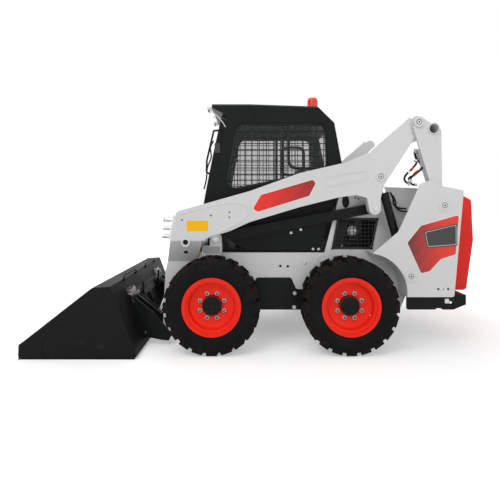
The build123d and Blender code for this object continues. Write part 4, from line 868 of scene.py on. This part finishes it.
low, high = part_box("beacon")
foot = upright((low[0] + high[0]) * 500, (low[1] + high[1]) * 500, low[2] * MM)
r, top = (high[0] - low[0]) * 500, high[2] * MM - low[2] * MM
dome = (
    (0, 34), (r - 4, 34), (r - 3, 40), (r - 6, 100), (r - 9, 110), (r - 16, top - 3),
    (r - 26, top - 0.5), (0, top),
)  # fmt: skip
dome = Shape().lathe(dome, foot, 64)
piece("beacon_dome", dome, "amber_lens", "chassis", replaces=("beacon",))
base = ((0, 0), (r, 0), (r, 6), (r - 2, 10), (r - 2, 36), (r - 6, 38), (0, 38))
piece("beacon_base", Shape().lathe(base, foot, 64), "dark_plastic", "chassis")
ribs = Shape()
for k in range(6):
    z = 46 + 8 * k
    ribs.lathe(((r - 7, z), (r - 2.5, z + 1.5), (r - 2.5, z + 2.5), (r - 7, z + 4)), foot, 64)
piece("beacon_ribs", ribs, "amber_lens", "chassis")

LAMP_Y = 330
LAMP_HALF = 58
low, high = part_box("work_lights")
for label, side in SIDES:
    x, z, half = high[0] * MM, (low[2] + high[2]) * 500, (high[2] - low[2]) * 500
    outer = [(-LAMP_HALF, -half), (LAMP_HALF, -half), (LAMP_HALF, half), (-LAMP_HALF, half)]
    at = ahead(x, side * LAMP_Y, z)
    bezel = Shape().band(rounded(outer, 6), rounded(inset(outer, 5), 4), -14, 0, at)
    piece(f"lamp_bezel_{label}", bezel, "dark_plastic", "chassis", bevel=0.8)
    bulbs = Shape()
    for y in (-24, 24):
        bulbs.disc(9, -6, -1.5, ahead(x, side * LAMP_Y + y, z), 24)
    piece(f"lamp_bulbs_{label}", bulbs, "lamp_lens", "chassis")

# strip under the visor's left end, then the wiper, latch and hose of the door
path = ((374, 1930), (345, 1912), (300, 1862), (268, 1812))
strip = Shape().pipe([(x, 474, z) for x, z in path], 4.5, 10)
piece("visor_strip", strip, "zinc", "chassis", "steel")
block = [(352, 1890), (374, 1890), (374, 1908), (352, 1908)]
look = ("pale_edge", "chassis", "body_paint", 1.0)
plate("visor_block", block, 3, 468, 476, beside(0, 0, 0), *look)

DOOR = ("front_door", "door_glass")
WIPER = ((60, 985), (38, 1100), (10, 1230), (-30, 1340))
blade, arm = Shape(), Shape()
path = [(-70 + 9 * k, 1080 + 75 * k) for k in range(7)]
blade.pipe([(front_x(y, z, DOOR) + 8, y, z) for y, z in path], 6, 8)
arm.pipe([(front_x(y, z, DOOR) + 20, y, z) for y, z in WIPER], 5, 8)
y, z = WIPER[0]
arm.disc(26, 0, 22, ahead(front_x(y, z, DOOR), y, z), 32, edge=4)
piece("wiper_blade", blade, "hose", "front_door", "black_paint")
piece("wiper_arm", arm, "black_paint", "front_door")
latch = [(313, 1595), (362, 1595), (362, 1680), (318, 1680)]
look = ("dark_plastic", "front_door", None, 2.0)
plate("door_latch", latch, 7, 452, 470, beside(0, 0, 0), *look)
path = (
    (372, 452, 1700), (398, 456, 1640), (392, 452, 1560), (424, 455, 1470), (432, 452, 1380),
    (452, 455, 1290),
)  # fmt: skip
piece("door_hose", Shape().pipe(path, 6, 10), "hose", "front_door", "black_paint")

# saddle of the front upright, panel beside the cab's rear corner, and the lift cylinder's lines
SADDLE = [(296, 753), (452, 753), (448, 824), (300, 826)]
CORNER = [(-700, 862), (-480, 862), (-480, 1060), (-700, 1060)]
LINES = ((-1088, 1262), (-1112, 1212), (-1120, 1160), (-1160, 1132), (-1222, 1126))
for label, side in SIDES:
    flat = beside(0, 0, 0, side)
    look = ("grey_panel", "chassis", "body_paint")
    plate(f"saddle_panel_{label}", inset(SADDLE, 5), 8, 588, 603, flat, *look)
    frame_band = Shape().band(rounded(SADDLE, 10), rounded(inset(SADDLE, 6), 6), 588, 605, flat)
    piece(f"saddle_frame_{label}", frame_band, "body_paint", "chassis", bevel=0.8)
    points = [(x, side * 576, z) for x, z in ((482, 842), (466, 805), (473, 778))]
    stub = Shape().pipe(points, 8, 12)
    piece(f"saddle_hose_{label}", stub, "hose", "chassis", "black_paint")
    cap = Shape().disc(9.5, 568, 584, beside(474, 0, 770, side), 20, edge=2)
    piece(f"saddle_cap_{label}", cap, "yellow_plate", "chassis", "body_paint")
    panel = Shape().prism(CORNER, 380, 386, flat)
    piece(f"corner_panel_{label}", panel, "dark_plastic", "chassis", bevel=1.0)
    lines = Shape()
    for shift, out in ((0, 560), (24, 575)):
        lines.pipe([(x - shift * 0.6, side * out, z - shift) for x, z in LINES], 7, 10)
    piece(f"cylinder_lines_{label}", lines, "hose", "chassis", "black_paint")
bolts("saddle_nut", "zinc", "chassis", ((341, 885),), ("chassis_frame", "pivot_pins"), 20, 8)

# ---------------------------------------------------------------- hoses and couplers
HOSES = (
    # distance out, radius, then points forward and up
    (652, 8.0, (
        (-1262, 1600), (-1256, 1560), (-1270, 1500), (-1236, 1450), (-1180, 1392), (-1176, 1350),
        (-1218, 1318),
    )),
    (632, 8.0, (
        (-1280, 1590), (-1282, 1530), (-1318, 1462), (-1262, 1400), (-1216, 1372), (-1240, 1324),
        (-1280, 1320),
    )),
    (668, 6.5, (
        (-1310, 1560), (-1334, 1500), (-1296, 1440), (-1258, 1420), (-1226, 1380), (-1204, 1340),
    )),
    (640, 5.0, ((-1341, 1520), (-1352, 1470), (-1344, 1420), (-1366, 1367))),
)  # fmt: skip
# forward, up, radius
COUPLINGS = (
    (-1259, 1580, 12), (-1262, 1512, 11), (-1205, 1420, 11), (-1279, 1555, 11), (-1296, 1434, 11),
    (-1226, 1346, 13),
)  # fmt: skip

for label, side in SIDES:
    hoses, marks, fittings = Shape(), Shape(), Shape()
    for out, radius, path in HOSES:
        y = side * out
        hoses.pipe([(x, y, z) for x, z in path], radius, 12)
        (x0, z0), (x1, z1) = path[0], path[1]
        fittings.pipe([(x0, y, z0 + 4), (x1, y, z1 + 12)], radius + 3.5, 6)
        (x0, z0), (x1, z1) = path[-2], path[-1]
        fittings.pipe([((x0 + x1) / 2, y, (z0 + z1) / 2), (x1, y, z1)], radius + 3, 6)
        x, z = path[len(path) // 2]
        marks.pipe([(x - 6, y, z + 7), (x + 6, y, z - 7)], radius + 1.2, 14)
    for x, z, radius in COUPLINGS:
        fittings.disc(radius, 636, 668, beside(x, 0, z, side), 6, 10)
    piece(f"link_hoses_{label}", hoses, "hose", "rear_links", "black_paint")
    piece(f"hose_fittings_{label}", fittings, "zinc", "rear_links", "steel")
    piece(f"hose_marks_{label}", marks, "red_paint", "rear_links")

COUPLER_Y = 652.5
COUPLER_Z = (910, 975, 1040)
low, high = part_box("arm_couplers")
tips = Shape()
for z in COUPLER_Z:
    for back, radius in ((46, 19), (30, 17.5), (14, 18.5)):
        for side in (1, -1):
            if low[1] * MM < side * COUPLER_Y < high[1] * MM:
                at = ahead(high[0] * MM - back, side * COUPLER_Y, z)
                tips.lathe(((15, -4), (radius, -4), (radius, 4), (15, 4)), at, 32)
piece("coupler_rings", tips, "zinc", "lift_arm", "steel")

# ---------------------------------------------------------------- bumper, tailgate, hood
BUMPER_PLATE = [(-1534, 368), (-1500, 368), (-1500, 404), (-1534, 404)]
for label, side in SIDES:
    y = surface_y(("rear_bumper",), -1517, 386, side)
    if y:
        look = ("zinc", "chassis", "steel")
        plate(f"bumper_plate_{label}", BUMPER_PLATE, 5, -1, 1.4, beside(0, y, 0, side), *look)

LATCH_Y, LATCH_Z = 430, 860
x = met("tailgate", (-AHEAD, LATCH_Y / MM, LATCH_Z / MM), (1, 0, 0), 0)
if x is not None:
    rear = Matrix(((0, 0, -1, x), (1, 0, 0, LATCH_Y), (0, 1, 0, LATCH_Z), (0, 0, 0, 1)))
    for part, across, up, radius, material in (
        ("plate", 28, 60, 12, "dark_plastic"),
        ("lever", 10, 44, 8, "black_paint"),
    ):
        outline = [(-across, -up), (across, -up), (across, up), (-across, up)]
        look = (material, "tailgate", None, 0.6)
        plate(f"tailgate_latch_{part}", outline, radius, -2, 0.0, rear, *look)

HOOD_Z = 1290
louvres = Shape()
for row in range(9):
    x = -1240 - 32 * row
    for ends in ((-330, -30), (30, 330)):
        points = []
        for y in ends:
            z = met("rear_hood", (x / MM, y / MM, ABOVE), (0, 0, -1), 2)
            points.append((x, y, HOOD_Z if z is None else z + 1.0))
        louvres.pipe(points, 5.5, 8)
piece("hood_louvres", louvres, "black_paint", "rear_hood", bevel=0.5)

# ---------------------------------------------------------------- bucket
BACK_LOW, BACK_HIGH = Vector((910, 26)), Vector((1112, 545))
ALONG = (BACK_HIGH - BACK_LOW).normalized()  # up the back
BEHIND = Vector((-ALONG.y, ALONG.x))  # square to it, to the rear
CUTTER = (
    (1798, 8), (1798, 109), (1757, 139), (1262, 526), (1160, 532), (1121, 520), (1618, 146),
    (1629, 8),
)  # fmt: skip
# outlines and path by height along the back and distance behind it; the path has Y last
WEAR = ((338, 15), (338, 19), (378, 22), (392, 29), (410, 29), (414, 20), (404, 15))
HOOK_CAP = ((414, -2), (414, 30), (446, 38), (474, 30), (480, -2))
RAIL = (
    (540, 4, 170), (572, 12, 185), (580, 14, 260), (580, 14, 460), (572, 12, 535), (540, 4, 550),
)  # fmt: skip


def behind(up, out):
    """Point given by its height along the bucket's back and its distance behind it."""
    return BACK_LOW + ALONG * up + BEHIND * out


def strips(outline, spans, side):
    """The same outline, given against the bucket's back, between several pairs of Y."""
    shape = Shape()
    for low, high in spans:
        shape.prism([tuple(behind(*point)) for point in outline], low, high, beside(0, 0, 0, side))
    return shape


for label, side in SIDES:
    cutter = Shape().prism(CUTTER, 857, 862.6, beside(0, 0, 0, side))
    piece(f"side_cutter_{label}", cutter, "bucket_paint", "bucket", bevel=1.5)
    worn = strips(WEAR, ((330, 425), (440, 566)), side)
    piece(f"coupler_wear_{label}", worn, "worn_steel", "bucket", "steel", 1.0)
    caps = strips(HOOK_CAP, ((430, 492), (500, 566)), side)
    piece(f"hook_caps_{label}", caps, "hook_steel", "bucket", "steel", 3.0)
    points = [(behind(up, out).x, side * y, behind(up, out).y) for up, out, y in RAIL]
    piece(f"back_rail_{label}", Shape().pipe(points, 7, 12), "bucket_paint", "bucket")
    heads = Shape()
    for up in (80, 350):
        x, z = behind(up, 16)
        for y in (470, 545):
            heads.bolt(upright(x, side * y, z) @ facing((BEHIND.x, 0, BEHIND.y)), 9, 6)
    piece(f"coupler_bolts_{label}", heads, "zinc", "bucket", "steel")


# ---------------------------------------------------------------- stage
# the floor's own glow seen by the camera: distance from the middle in metres, and strength
GLOW_NEAR, GLOW_FAR = (2.2, 0.36), (5.0, 1.0)
SKY = (0.4, 1.0)  # strength of the backdrop as a lamp, and as it is seen
AIM = (0, 0, 0.8)
EYE = (0.063, 4.0, 1.173)
LENS = 30.14
SHIFT = -0.094


def ray_seen(tree):
    """1 for a ray from the camera, a reflection or a pane of glass, else 0."""
    path = tree.nodes.new("ShaderNodeLightPath")
    value = path.outputs["Is Camera Ray"]
    for name in ("Is Glossy Ray", "Is Transmission Ray"):
        both = tree.nodes.new("ShaderNodeMath")
        both.operation = "MAXIMUM"
        tree.links.new(value, both.inputs[0])
        tree.links.new(path.outputs[name], both.inputs[1])
        value = both.outputs[0]
    return value


def build_stage():
    """Pale floor and backdrop, soft lamps and the camera."""
    bpy.ops.mesh.primitive_plane_add(size=60)
    floor = bpy.context.object
    floor.name = "floor"
    material, tree, bsdf = shader("floor_white")
    bsdf.inputs["Base Color"].default_value = (0.86, 0.86, 0.86, 1)
    bsdf.inputs["Roughness"].default_value = 0.8
    bsdf.inputs["Specular IOR Level"].default_value = 0.1
    bsdf.inputs["Emission Color"].default_value = (1, 1, 1, 1)
    lift = tree.nodes.new("ShaderNodeMapRange")
    tree.links.new(ray_seen(tree), lift.inputs["Value"])
    coords = tree.nodes.new("ShaderNodeTexCoord")
    length = tree.nodes.new("ShaderNodeVectorMath")
    length.operation = "LENGTH"
    tree.links.new(coords.outputs["Object"], length.inputs[0])
    fade = tree.nodes.new("ShaderNodeMapRange")
    for label, (distance, strength) in (("Min", GLOW_NEAR), ("Max", GLOW_FAR)):
        fade.inputs[f"From {label}"].default_value = distance
        fade.inputs[f"To {label}"].default_value = strength
    tree.links.new(length.outputs["Value"], fade.inputs["Value"])
    tree.links.new(fade.outputs["Result"], lift.inputs["To Max"])
    tree.links.new(lift.outputs["Result"], bsdf.inputs["Emission Strength"])
    floor.data.materials.append(material)

    world = bpy.data.worlds.new("studio")
    bpy.context.scene.world = world
    world.use_nodes = True
    tree = world.node_tree
    background = tree.nodes["Background"]
    background.inputs["Color"].default_value = (1, 1, 1, 1)
    strength = tree.nodes.new("ShaderNodeMapRange")
    strength.inputs["To Min"].default_value, strength.inputs["To Max"].default_value = SKY
    tree.links.new(ray_seen(tree), strength.inputs["Value"])
    tree.links.new(strength.outputs["Result"], background.inputs["Strength"])

    lamps = (
        # name, position, power, size
        ("key", (2.5, 5.0, 5.5), 165.0, 4.0),
        ("fill", (-3.5, 5.5, 3.0), 62.0, 4.0),
        ("top", (0.0, 0.0, 6.5), 105.0, 5.0),
        ("back", (-1.0, -5.5, 4.5), 75.0, 4.0),
    )
    for name, place, power, size in lamps:
        data = bpy.data.lights.new(name, "AREA")
        data.energy = power
        data.size = size
        lamp = bpy.data.objects.new(name, data)
        lamp.location = place
        aim = Vector(AIM) - Vector(place)
        lamp.rotation_euler = aim.to_track_quat("-Z", "Y").to_euler()
        bpy.context.scene.collection.objects.link(lamp)

    bpy.context.scene.view_settings.view_transform = "Standard"
    data = bpy.data.cameras.new("camera")
    data.sensor_width = 36.0
    data.lens = LENS
    data.shift_y = SHIFT
    camera = bpy.data.objects.new("camera", data)
    camera.location = EYE
    camera.rotation_euler = (math.radians(90), 0, math.radians(180))
    bpy.context.scene.collection.objects.link(camera)
    bpy.context.scene.camera = camera


paint_nodes()
build_stage()
